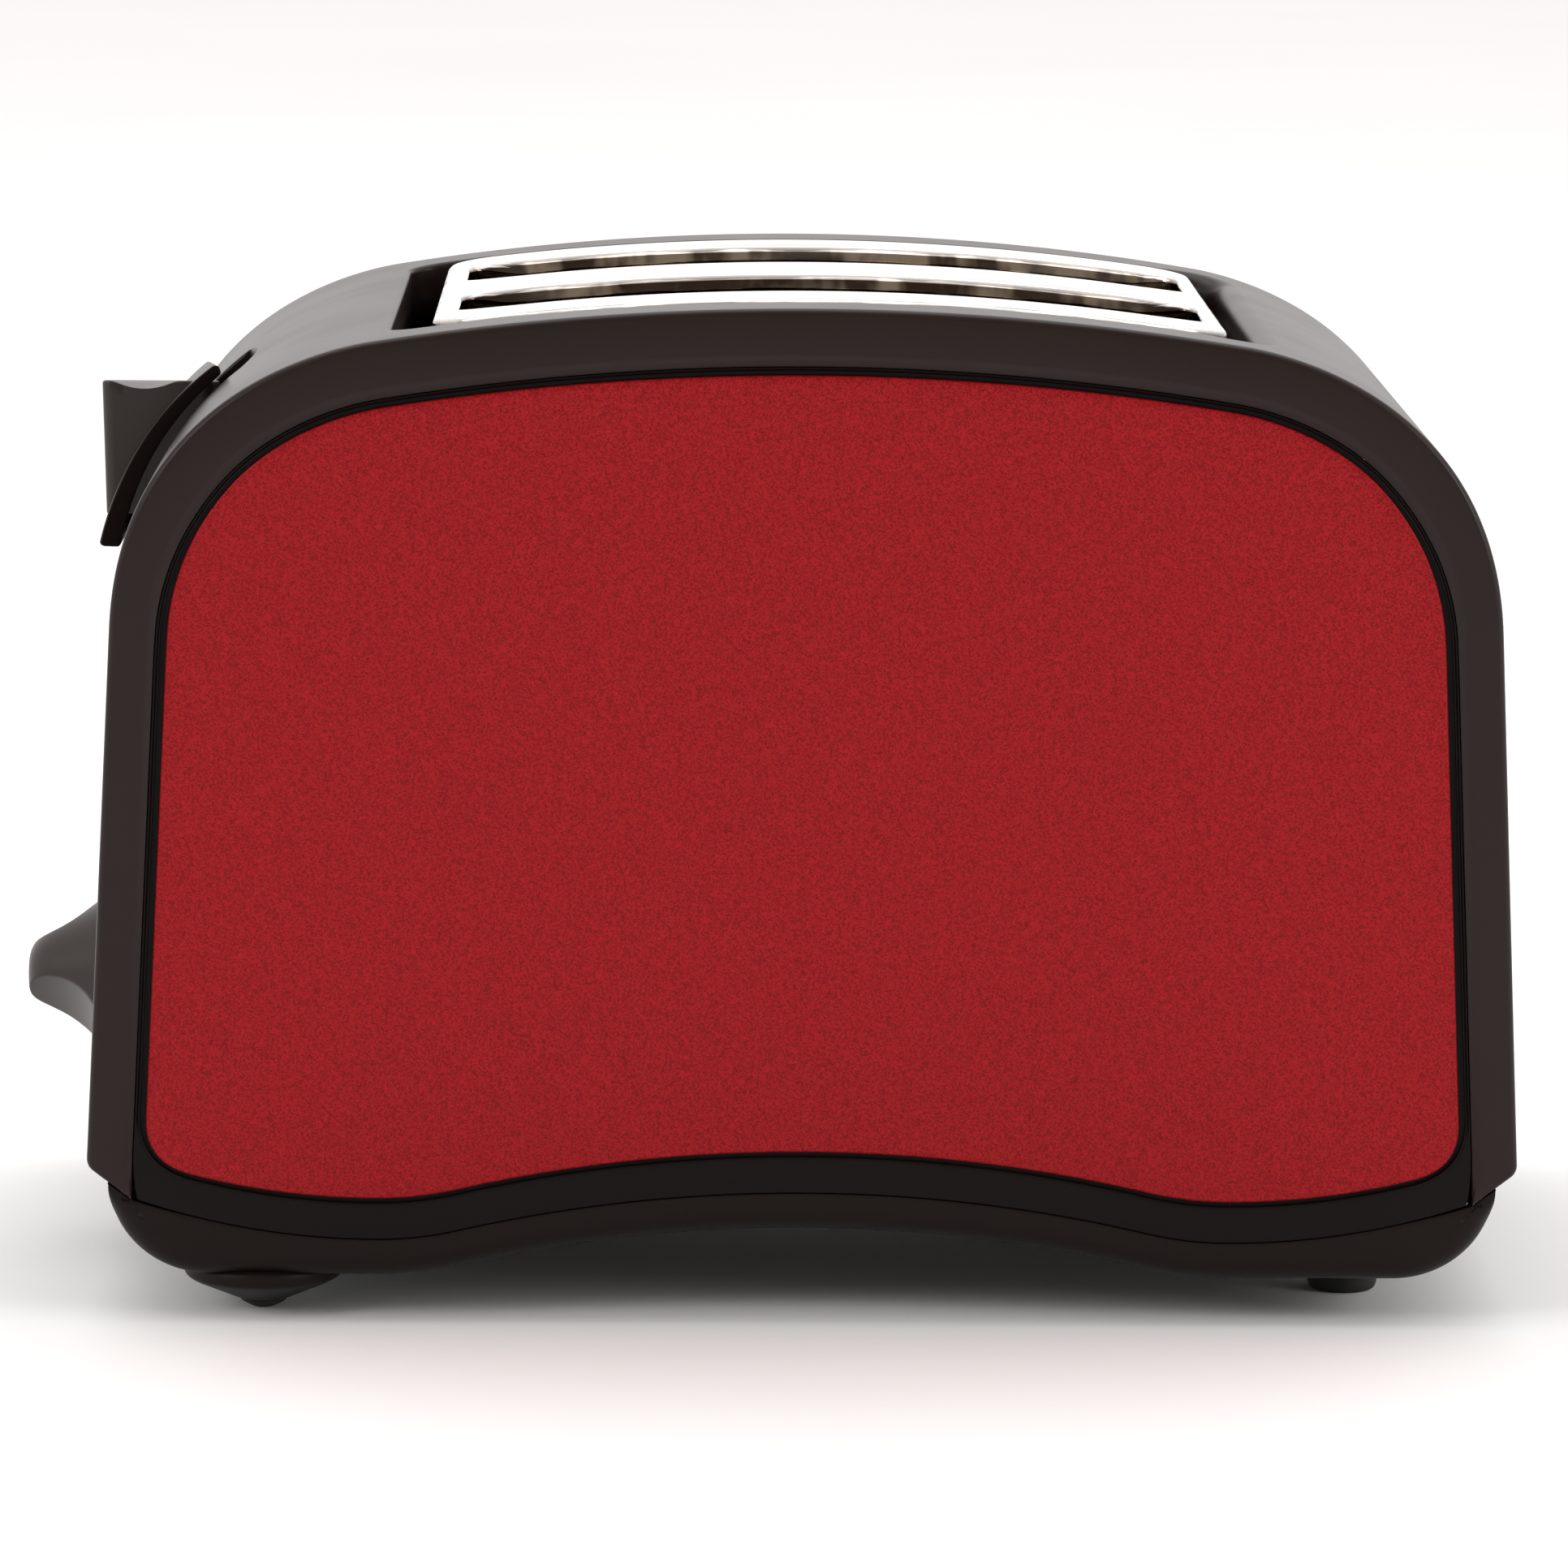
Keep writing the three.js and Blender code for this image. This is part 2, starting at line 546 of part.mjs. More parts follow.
function heaterBoard(y) {
  const half = BOARD.thickness / 2;
  return box(CAGE.x0 + GAP, CAGE.x1 - GAP, y - half, y + half, BOARD.z0, BOARD.z1);
}

// One resistance ribbon, run to and fro along the face of its board.
function heaterRibbon(y0) {
  const { x0, x1, z0, pitch, rows, width, thickness } = HEATER;
  const bars = [];
  for (let row = 0; row < rows; row += 1) {
    const z = z0 + row * pitch;
    bars.push(box(x0, x1, y0, y0 + thickness, z, z + width));
    if (row + 1 < rows) {
      const x = row % 2 ? x0 : x1 - width;
      bars.push(box(x, x + width, y0, y0 + thickness, z + 0.5, z + pitch + 0.5));
    }
  }
  return join(bars);
}

function breadGuard(y) {
  const { wire, z0, z1, x0, pitch, count } = GUARD;
  const bars = [
    roundBar('x', wire, CAGE.x0 - 3, CAGE.x1 + 3, [y, z0], 6),
    roundBar('x', wire, x0 - 3, x0 + pitch * (count - 1) + 3, [y, z1], 6),
  ];
  for (let i = 0; i < count; i += 1) {
    bars.push(roundBar('z', 0.9 * wire, z0, z1, [x0 + i * pitch, y], 6));
  }
  return join(bars);
}

// ---- carriage, lever and latch

function liftRack(y) {
  const half = RACK.sheet / 2;
  const bars = [box(RACK.x0, RACK.x1, y - half, y + half, RACK.z0, RACK.z1)];
  for (let x = -56; x <= 66; x += 20.3) {
    bars.push(box(x, x + 2, y - RACK.halfWidth, y + RACK.halfWidth, RACK.z1 - 2, RACK.z1 - 0.3));
  }
  return join(bars);
}

function carriageBracket() {
  const { x0, x1, z0, z1, crossbarZ, halfWidth, leg } = BRACKET;
  const parts = [box(x0, x1, -halfWidth, halfWidth, crossbarZ, z1)];
  for (const y of [-SLOT_CENTRE, SLOT_CENTRE]) {
    parts.push(box(x0, x1, y - leg, y + leg, z0, crossbarZ + 1));
  }
  parts.push(box(ARM.x1 - 2, x0 + 0.2, -9, 9, crossbarZ, crossbarZ + 1.5));
  parts.push(box(ARM.x0, ARM.x1, -ARM.halfWidth, ARM.halfWidth, ARM.z0, ARM.z1));
  parts.push(box(MAGNET.x - 9, x0 + 0.2, MAGNET.y - leg, MAGNET.y + leg, MAGNET.z1 + TRAVEL + 3.9, MAGNET.z1 + TRAVEL + 5.4));
  return join(parts).subtract(roundBar('z', GUIDE.radius + 0.6, 130, 160, [GUIDE.x, 0]));
}

function carriageBush() {
  const z0 = BRACKET.crossbarZ + 1.8;
  const sleeve = roundBar('z', 6, z0, z0 + 15, [GUIDE.x, 0]);
  return sleeve.subtract(roundBar('z', GUIDE.radius + GAP, z0 - 5, z0 + 20, [GUIDE.x, 0]));
}

function keeperPlate() {
  const z0 = MAGNET.z1 + TRAVEL + GAP;
  return box(MAGNET.x - 13, MAGNET.x + 8.5, MAGNET.y - 5.5, MAGNET.y + 5.5, z0, z0 + 3);
}

class Helix extends THREE.Curve {
  getPoint(t, target = new THREE.Vector3()) {
    const angle = t * SPRING.turns * 2 * Math.PI;
    const z = THREE.MathUtils.lerp(SPRING.z0 + SPRING.wire, SPRING.z1 - SPRING.wire, t);
    return target.set(GUIDE.x + SPRING.radius * Math.cos(angle), SPRING.radius * Math.sin(angle), z);
  }
}

function returnSpring() {
  const section = new THREE.Shape();
  section.absarc(0, 0, SPRING.wire, 0, 2 * Math.PI);
  const geometry = new THREE.ExtrudeGeometry(section, {
    extrudePath: new Helix(),
    steps: SPRING.turns * 9,
    curveSegments: 2,
    bevelEnabled: false,
  });
  return solid(geometry);
}

function magnetCore() {
  const { x, y, post, z0, z1 } = MAGNET;
  return join([
    box(x - 13, x + 8, y - 5, y + 5, z0, z0 + 4),
    box(x - 13, x - 9.6, y - 5, y + 5, z0 + 3.9, z1),
    roundBar('z', post, z0 + 3.9, z1, [x, y]),
  ]);
}

function magnetCoil() {
  const { x, y, post, coil, z0, z1 } = MAGNET;
  const ring = roundBar('z', coil, z0 + 4.3, z1 - 1.4, [x, y], 20);
  return ring.subtract(roundBar('z', post + GAP, z0, z1 + 1, [x, y]));
}

// The shield follows the housing's shoulder. The knob block stands out from it, with a finger scoop in a top
// that falls away towards the rear.
function leverKnob() {
  const { halfWidth, bottomZ, topZ, topX, bottomX, thickness } = SHIELD;
  const innerTop = new THREE.Vector2(topX, topZ);
  const innerBottom = new THREE.Vector2(bottomX, bottomZ);
  const bend = new THREE.Vector2(-126.3, 157.6);
  const inner = new THREE.QuadraticBezierCurve(innerBottom, bend, innerTop).getPoints(10);
  const outward = new THREE.QuadraticBezierCurve(
    new THREE.Vector2(topX - 1.6, topZ + 2.2),
    bend.clone().add(new THREE.Vector2(-3, 2.6)),
    new THREE.Vector2(bottomX - thickness, bottomZ),
  ).getPoints(10);
  const shield = alongY(new THREE.Shape([...inner, ...outward]), -halfWidth, halfWidth);
  const { x, topZ: blockTop, halfWidth: half } = KNOB_BLOCK;
  const above = new THREE.BoxGeometry(60, 60, 20);
  above.translate(0, 0, 10);
  above.rotateX(-THREE.MathUtils.degToRad(KNOB_BLOCK.topFall));
  above.translate(x, -half, blockTop);
  const block = alongY(new THREE.Shape([
    new THREE.Vector2(x, 144),
    new THREE.Vector2(x - 0.6, blockTop),
    new THREE.Vector2(-114.8, blockTop),
    new THREE.Vector2(-122, 158),
    new THREE.Vector2(-128.5, 146),
  ]), -half, half).subtract(solid(above));
  const scoop = roundBar('y', 12, -half - 1, half + 1, [-125.6, blockTop + 10.4], 36);
  const stem = box(-130, ARM.x0 - GAP, -4, 4, ARM.z0 - 0.5, ARM.z1 + 0.5);
  return join([shield, block, stem]).subtract(scoop);
}

// ---- browning control and cancel button

function alongAxisX(profile, tipX, sides = 32) {
  const geometry = new THREE.LatheGeometry(profile.map(([r, x]) => new THREE.Vector2(r, x)), sides);
  geometry.rotateZ(Math.PI / 2);
  geometry.translate(tipX, 0, DIAL.z);
  return solid(geometry);
}

// A cone with a rounded nose and a hollow swept out of each side, which leaves a grip bar.
function browningKnob() {
  const length = DIAL.backX - DIAL.tipX;
  const body = alongAxisX(
    [[0, 0], [DIAL.radius, 0], [DIAL.radius, 1.2], [13.2, 3.3], [8.2, length - 4], [6.4, length - 1.2], [4, length], [0, length]],
    DIAL.backX);
  let knob = body;
  for (const side of [-1, 1]) {
    const geometry = new THREE.CylinderGeometry(15, 15, 60, 40);
    geometry.translate(DIAL.tipX + 0.5, 0, side * (15 + 3.6));
    geometry.rotateX(THREE.MathUtils.degToRad(DIAL.barTurn));
    geometry.translate(0, 0, DIAL.z);
    knob = knob.subtract(solid(geometry));
  }
  return knob.subtract(roundBar('x', 3 + GAP, DIAL.backX - 7.5, DIAL.backX + 5, [0, DIAL.z]));
}

function browningShaft() {
  return roundBar('x', 3, DIAL.backX - 7, -128.3, [0, DIAL.z]);
}

function browningPotentiometer() {
  const can = roundBar('x', 8, -123, CONTROL_BOARD.x0 - GAP, [0, DIAL.z], 20);
  return can.add(roundBar('x', 4.5, -128, -122.9, [0, DIAL.z]));
}

function cancelButton() {
  const { y, z, radius, faceX } = CANCEL;
  return join([
    roundBar('x', radius, faceX, -126, [y, z], 18),
    roundBar('x', radius + 1.6, -127.6, -126.2, [y, z], 18),
    roundBar('x', 2, -126.5, -120.6, [y, z], 12),
  ]);
}

function cancelSwitch() {
  const { y, z, travel } = CANCEL;
  const back = CONTROL_BOARD.x0 - GAP;
  const plungerX = -120.6 + travel + 0.3;
  return box(-118, back, y - 3.5, y + 3.5, z - 3.5, z + 3.5).add(roundBar('x', 1.6, plungerX, -117.9, [y, z], 12));
}

function controlBoard() {
  const { x0, x1, halfWidth, z0, z1 } = CONTROL_BOARD;
  return box(x0, x1, -halfWidth, halfWidth, z0, z1);
}

// ---- the assembly

add('housing_shell', housingShell(), 'charcoal');
add('front_cover', cover(-1), 'charcoal');
add('rear_cover', cover(1), 'charcoal');
add('front_panel', panel(-1), 'red');
add('rear_panel', panel(1), 'red');
add('base_pan', basePan(), 'nearBlack');
add('foot_front_left', rubberTip(FEET.left.x, -FEET.left.y), 'rubber');
add('foot_rear_left', rubberTip(FEET.left.x, FEET.left.y), 'rubber');
add('foot_front_right', rubberPad(FEET.right.x, -FEET.right.y), 'rubber');
add('foot_rear_right', rubberPad(FEET.right.x, FEET.right.y), 'rubber');
add('crumb_tray', crumbTray(), 'nearBlack');
add('cord_gland', cordGland(), 'rubber');
add('terminal_block', box(-108, -88, 44, 57, 11.6, 26), 'cream');
[[-1, -1], [-1, 1], [1, -1], [1, 1]].forEach(([sideX, sideY], i) => {
  const shape = screw(sideX * BASE_SCREW.x, sideY * BASE_SCREW.y, 19.4, 2.3, 44, BASE_SCREW, true);
  add(`base_screw_${i + 1}`, shape, 'zinc');
});
chassisScrews().forEach(([x, y], i) => {
  add(`chassis_screw_${i + 1}`, screw(x, y, CAGE.z0 + 1.3, 1.8, 20, CHASSIS_SCREW, false), 'zinc');
});

add('slot_plate', slotPlate(), 'chrome');
add('chassis_end_left', cageEnd(-1), 'steel');
add('chassis_end_right', cageEnd(1), 'steel');
add('reflector_front', reflector(-1), 'steel');
add('reflector_rear', reflector(1), 'steel');
add('heater_board_front', heaterBoard(-BOARD.y), 'mica');
add('heater_board_centre', heaterBoard(0), 'mica');
add('heater_board_rear', heaterBoard(BOARD.y), 'mica');
const boardFace = BOARD.thickness / 2 + GAP;
add('heater_ribbon_front', heaterRibbon(-BOARD.y + boardFace), 'ribbon');
add('heater_ribbon_centre_front', heaterRibbon(-boardFace - HEATER.thickness), 'ribbon');
add('heater_ribbon_centre_rear', heaterRibbon(boardFace), 'ribbon');
add('heater_ribbon_rear', heaterRibbon(BOARD.y - boardFace - HEATER.thickness), 'ribbon');
add('guard_front_outer', breadGuard(-SLOT_CENTRE - GUARD.offset), 'steel');
add('guard_front_inner', breadGuard(-SLOT_CENTRE + GUARD.offset), 'steel');
add('guard_rear_inner', breadGuard(SLOT_CENTRE - GUARD.offset), 'steel');
add('guard_rear_outer', breadGuard(SLOT_CENTRE + GUARD.offset), 'steel');

add('guide_rod', roundBar('z', GUIDE.radius, GUIDE.z0, GUIDE.z1, [GUIDE.x, 0]), 'steel');
add('return_spring', returnSpring(), 'steel');
add('carriage_bracket', carriageBracket(), 'zinc');
add('carriage_bush', carriageBush(), 'cream');
add('lift_rack_front', liftRack(-SLOT_CENTRE), 'steel');
add('lift_rack_rear', liftRack(SLOT_CENTRE), 'steel');
add('keeper_plate', keeperPlate(), 'zinc');
add('magnet_core', magnetCore(), 'zinc');
add('magnet_coil', magnetCoil(), 'copper');
add('lever_knob', leverKnob(), 'charcoal');

add('control_board', controlBoard(), 'board');
add('board_capacitor', roundBar('x', 5, CONTROL_BOARD.x1 + GAP, -100, [-25, 50]), 'nearBlack');
add('browning_potentiometer', browningPotentiometer(), 'zinc');
add('browning_shaft', browningShaft(), 'zinc');
add('browning_knob', browningKnob(), 'charcoal');
add('cancel_switch', cancelSwitch(), 'nearBlack');
add('cancel_button', cancelButton(), 'charcoal');

export default toaster;
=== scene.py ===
# %% [markdown]
# # A two-slice pop-up toaster
#
# The toaster is an arched plastic housing with a painted metal panel let into its front and its back, a
# chrome plate round the two bread slots, and a separate wavy base. At the left end stand the lever and the
# browning dial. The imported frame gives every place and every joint. This lesson dresses that frame: each
# moulding is worked out as a surface with numpy, and each finish is written as a small node network.

# %% Load the frame
import math

import bmesh
import bpy
import numpy as np
from mathutils import Matrix, Vector


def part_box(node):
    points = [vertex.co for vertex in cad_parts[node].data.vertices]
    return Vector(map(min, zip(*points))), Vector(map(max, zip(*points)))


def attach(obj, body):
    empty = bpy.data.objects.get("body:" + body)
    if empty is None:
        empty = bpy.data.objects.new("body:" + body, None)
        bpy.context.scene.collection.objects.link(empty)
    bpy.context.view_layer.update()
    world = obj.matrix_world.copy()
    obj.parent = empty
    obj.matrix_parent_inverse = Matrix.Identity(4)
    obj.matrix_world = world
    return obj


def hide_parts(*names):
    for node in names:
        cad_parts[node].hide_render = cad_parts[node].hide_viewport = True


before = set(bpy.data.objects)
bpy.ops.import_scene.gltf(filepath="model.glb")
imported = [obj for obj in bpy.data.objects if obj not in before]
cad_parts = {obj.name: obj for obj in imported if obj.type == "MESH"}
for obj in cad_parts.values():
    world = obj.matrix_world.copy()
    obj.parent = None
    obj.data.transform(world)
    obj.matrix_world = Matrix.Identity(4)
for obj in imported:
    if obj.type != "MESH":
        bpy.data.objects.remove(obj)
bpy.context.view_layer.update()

# %% [markdown]
# ## Units and the middle plane
#
# A moulding is easiest to think about in millimetres, measured from the plane that halves the housing. The
# frame is in metres and its origin is the middle of the whole box, knob included, so the housing's middle
# plane is a little off X = 0. Its place comes from the frame.

# %% Measures taken from the frame
MM = 0.001
SHARP_ANGLE = math.radians(38)


def box_mm(node):
    """Lowest and highest corner of a frame node, in millimetres from the housing's middle plane."""
    low, high = (np.array(corner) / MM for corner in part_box(node))
    shift = np.array([MIDDLE_X, 0, 0])
    return low - shift, high - shift


shell_low, shell_high = (np.array(corner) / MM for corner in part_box("housing_shell"))
MIDDLE_X = (shell_low[0] + shell_high[0]) / 2
HALF_DEPTH = shell_high[1]
CREST_Z = shell_high[2]
print(f"middle plane at X = {MIDDLE_X:.2f} mm, half depth {HALF_DEPTH:.1f}, crest {CREST_Z:.1f}")

# %% [markdown]
# ## Surfaces from arrays
#
# A moulding is a skin that somebody has drawn with two families of lines. So a patch here is a table of
# points with rows and columns, and the faces are the quads between neighbouring rows and columns. Another way
# would be to cut solids with booleans, but then every edge is knife sharp and has to be bevelled again. With
# rows that follow the edges, each rounding is simply a few more rows.

# %% Patches that become one mesh


def quads(rows, columns, wrap=False):
    """Quads between neighbours of a rows x columns table; wrap also joins the last column to the first."""
    row, column = np.meshgrid(np.arange(rows - 1), np.arange(columns if wrap else columns - 1), indexing="ij")
    here = row * columns + column
    beside = row * columns + (column + 1) % columns
    return np.stack([here, beside, beside + columns, here + columns], -1).reshape(-1, 4)


def fan(ring):
    """A ring of points and its average, as two rows, which closes a hole with a fan of triangles."""
    return np.stack([ring, np.broadcast_to(ring.mean(0), ring.shape)])


def build_mesh(name, patches):
    """One mesh from (points, wrap) patches in millimetres; equal points merge and faces turn outwards."""
    corners, faces, first = [], [], 0
    for points, wrap in patches:
        rows, columns, _ = points.shape
        corners.append(points.reshape(-1, 3))
        faces.append(quads(rows, columns, wrap) + first)
        first += rows * columns
    places = (np.concatenate(corners) + [MIDDLE_X, 0, 0]) * MM
    mesh = bpy.data.meshes.new(name)
    mesh.from_pydata(places, [], np.concatenate(faces))
    work = bmesh.new()
    work.from_mesh(mesh)
    bmesh.ops.remove_doubles(work, verts=work.verts, dist=0.004 * MM)
    bmesh.ops.dissolve_degenerate(work, edges=work.edges, dist=0.001 * MM)
    bmesh.ops.recalc_face_normals(work, faces=work.faces)
    work.to_mesh(mesh)
    work.free()
    mesh.polygons.foreach_set("use_smooth", np.ones(len(mesh.polygons), bool))
    mesh.set_sharp_from_angle(angle=SHARP_ANGLE)
    return mesh


def add_piece(name, patches, body, finish, stands_for=(), wall=0.0):
    """A mesh from patches that rides on a body; wall is the sheet's thickness, laid on its inner side."""
    piece = bpy.data.objects.new(name, build_mesh(name, patches))
    bpy.context.scene.collection.objects.link(piece)
    piece.data.materials.append(finish)
    if wall:
        sheet = piece.modifiers.new("wall", "SOLIDIFY")
        sheet.thickness = wall * MM
        sheet.offset = -1
    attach(piece, body)
    if stands_for:
        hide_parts(*stands_for)
    print(f"{name}: {len(piece.data.polygons)} faces")
    return piece


# %% [markdown]
# ## Loops and rims
#
# A hole in a moulding has a loop round it, and its rim is a short profile carried along that loop. Two loops
# with the same number of points, one on the hole and one on the lines that surround it, give a patch with a
# hole by straight blending between them.

# %% Loops in a plane


def edge_loop(a, b):
    """Closed loop along the four sides of a table with the line positions a and b, from corner a[0], b[0]."""
    bottom = np.stack([a[:-1], np.full(len(a) - 1, b[0])], 1)
    right = np.stack([np.full(len(b) - 1, a[-1]), b[:-1]], 1)
    top = np.stack([a[:0:-1], np.full(len(a) - 1, b[-1])], 1)
    left = np.stack([np.full(len(b) - 1, a[0]), b[:0:-1]], 1)
    return np.concatenate([bottom, right, top, left])


def hole_loop(a0, a1, b0, b1, count_a, count_b, radii, corner_steps=4):
    """A box with rounded corners, in edge_loop's order and with as many points on each side.

    Along a side the first and last corner_steps points run round half of a corner's arc, at its centre plus
    its radius times (cos, sin), and the others divide the straight part evenly. a may run downwards.
    """
    sense = np.array([math.copysign(1, a1 - a0), 1.0])
    corners = np.array([[a0, b0], [a1, b0], [a1, b1], [a0, b1]], float)
    inward = np.sign(corners.mean(0) - corners) * np.array(radii)[:, None]
    centres = corners + inward
    sides = []
    for side, count in enumerate([count_a, count_b, count_a, count_b]):
        here, there = centres[side], centres[(side + 1) % 4]
        turn = (side - 1) * math.pi / 2
        half = np.linspace(-math.pi / 4, 0, corner_steps, endpoint=False) + turn
        start = here + radii[side] * sense * np.stack([np.cos(half), np.sin(half)], 1)
        outward = sense * np.array([math.cos(turn), math.sin(turn)])
        even = np.linspace(0, 1, count - 2 * corner_steps + 1)[:, None]
        first = here + radii[side] * outward
        last = there + radii[(side + 1) % 4] * outward
        half = np.linspace(0, math.pi / 4, corner_steps, endpoint=False)[1:] + turn
        end = there + radii[(side + 1) % 4] * sense * np.stack([np.cos(half), np.sin(half)], 1)
        sides.append(np.concatenate([start, first + even * (last - first), end]))
    return np.concatenate(sides)


def loop_normals(loop):
    """Unit normals of a closed loop, pointing out: its direction turned, by the sign of the loop's area."""
    following = np.roll(loop, -1, 0)
    along = following - np.roll(loop, 1, 0)
    area = np.sum(loop[:, 0] * following[:, 1] - loop[:, 1] * following[:, 0])
    out = np.stack([along[:, 1], -along[:, 0]], 1) * np.sign(area)
    return out / np.maximum(np.linalg.norm(out, axis=1, keepdims=True), 1e-9)


def blend(inner, outer, rings, ease=1.0):
    """Rows of loops from inner to outer: inner plus t to the power ease times the way to outer."""
    t = np.linspace(0, 1, rings + 1)[:, None, None] ** ease
    return inner + t * (outer - inner)


def smoothstep(value, low, high):
    """0 below low and 1 above high, with a smooth S between: t squared times (3 - 2 t)."""
    t = np.clip((value - low) / (high - low), 0, 1)
    return t * t * (3 - 2 * t)


print("a rounded box as a loop:", len(hole_loop(0, 30, 0, 20, 24, 16, [4] * 4)), "points")

# %% [markdown]
# ## The arch
#
# Everything on the toaster's face follows one line: a very flat arch over the top, a tight shoulder, a side
# that leans out a little towards its foot, and a short cut under it. An artist would draw it with a curve
# object. A table of closely spaced points with their arc length is more useful here, because every other
# outline is this one moved in by some millimetres, and a hole's corner can be found from its X or its Z.

# %% The housing's section by arc length
ARCH_RADIUS = 491.5
ARCH_HALF_WIDTH = 80.0
SHOULDER = np.array([127.9, 130.1])
LOWER_CORNER = np.array([132.6, 29.5])
BEZEL_FOOT = np.array([124.2, 23.4])
SHOULDER_TOP_HANDLE = 6.6
SHOULDER_SIDE_HANDLE = 43.9
FOOT_ROUNDING = 1.6
TURN_STEPS = 60


def arch_z(x, grow=0.0):
    """Height of the top arch: a circle of ARCH_RADIUS + grow about its centre under the crest."""
    return CREST_Z - ARCH_RADIUS + np.sqrt((ARCH_RADIUS + grow) ** 2 - x * x)


def bezier(points, steps):
    """Bezier curve through its first and last point, by repeated blending of neighbouring controls."""
    t = np.linspace(0, 1, steps)[:, None]
    level = [np.broadcast_to(p, (steps, 2)) for p in points]
    while len(level) > 1:
        level = [a + t * (b - a) for a, b in zip(level, level[1:])]
    return level[0]


def right_half():
    """Dense points of the section from the crest to the foot: arch, cubic shoulder, side, rounded corner."""
    tilt = math.acos(ARCH_HALF_WIDTH / ARCH_RADIUS)
    angle = np.linspace(math.pi / 2, tilt, 900)
    arch = np.stack([ARCH_RADIUS * np.cos(angle), CREST_Z + ARCH_RADIUS * (np.sin(angle) - 1)], 1)
    down = (LOWER_CORNER - SHOULDER) / np.linalg.norm(LOWER_CORNER - SHOULDER)
    under = (BEZEL_FOOT - LOWER_CORNER) / np.linalg.norm(BEZEL_FOOT - LOWER_CORNER)
    over = arch[-1] + SHOULDER_TOP_HANDLE * np.array([math.sin(tilt), -math.cos(tilt)])
    shoulder = bezier([arch[-1], over, SHOULDER - SHOULDER_SIDE_HANDLE * down, SHOULDER], 900)
    turn_from, turn_to = LOWER_CORNER - FOOT_ROUNDING * down, LOWER_CORNER + FOOT_ROUNDING * under
    turn = bezier([turn_from, LOWER_CORNER, turn_to], TURN_STEPS)
    return np.concatenate([arch, shoulder[1:], turn, BEZEL_FOOT[None]])


SECTION = right_half()
SECTION_S = np.concatenate([[0], np.cumsum(np.linalg.norm(np.diff(SECTION, axis=0), axis=1))])
fine_s = np.linspace(0, SECTION_S[-1], 6000)
fine_section = np.stack([np.interp(fine_s, SECTION_S, SECTION[:, i]) for i in (0, 1)], 1)
fine_along = np.gradient(fine_section, fine_s, axis=0)
fine_along /= np.linalg.norm(fine_along, axis=1, keepdims=True)
S_END = SECTION_S[-1]
S_TURN = SECTION_S[-TURN_STEPS - 1]
WIDENING = 4800


def outline(s, inset=0.0):
    """X and Z at arc length s from the crest, right side positive, moved in by inset along the normal."""
    across = np.abs(s)
    x, z, along_x, along_z = (
        np.interp(across, fine_s, column) for column in (*fine_section.T, *fine_along.T))
    side = np.where(np.asarray(s) < 0, -1.0, 1.0)
    return side * (x + along_z * inset), z - along_x * inset


def s_at_x(x):
    """Arc length where the section passes X, on its first part, where X only grows."""
    return math.copysign(np.interp(abs(x), fine_section[:WIDENING, 0], fine_s[:WIDENING]), x)


def s_at_z(z):
    """Arc length where the right side passes the height z."""
    return float(np.interp(-z, -fine_section[:, 1], fine_s))


print(f"half of the section is {S_END:.1f} mm long")

# %% Insets, and the wavy seam between cover and base
BEZEL_INSET = (10.5, 8.4)
PANEL_INSET = (12.2, 10.6)
PANEL_ABOVE_SEAM = 7.6
SEAM_CREST_Z = 25.2
CROWN_RADIUS = 280.0
CROWN_HALF_WIDTH = 64.0
VALLEY_RADIUS = 65.0
END_RADIUS = 139.0


def inset_at(z, pair):
    """An inset that blends from its crest value to its side value over the shoulder."""
    return pair[0] + smoothstep(-z, -165, -125) * (pair[1] - pair[0])


def seam_z(x):
    """Height of the seam: a wide crown, a tighter valley each side of it and a slowly rising end, as arcs."""
    across = np.abs(x)
    slope = math.asin(CROWN_HALF_WIDTH / CROWN_RADIUS)
    crown = SEAM_CREST_Z - CROWN_RADIUS + np.sqrt(CROWN_RADIUS**2 - np.minimum(across, CROWN_HALF_WIDTH) ** 2)
    crown_end = SEAM_CREST_Z - CROWN_RADIUS * (1 - math.cos(slope))
    valley_x = CROWN_HALF_WIDTH + VALLEY_RADIUS * math.sin(slope)
    valley_z = crown_end - VALLEY_RADIUS * (1 - math.cos(slope))
    radius = np.where(across < valley_x, VALLEY_RADIUS, END_RADIUS)
    rise = valley_z + radius - np.sqrt(radius**2 - (across - valley_x) ** 2)
    return np.where(across <= CROWN_HALF_WIDTH, crown, rise)


print("the seam's height in the middle and at an end:", seam_z(np.array([0, BEZEL_FOOT[0]])).round(1))

# %% [markdown]
# ## Node networks as arithmetic
#
# A finish is mostly arithmetic on a few textures. Wiring Math nodes one by one hides the formula, so a small
# class wraps a socket and lets Python's operators add the nodes. Anything that isn't arithmetic comes from
# one method that takes the node's type, its settings and what goes into its sockets.

# %% A wire that does maths, and a finish that makes nodes


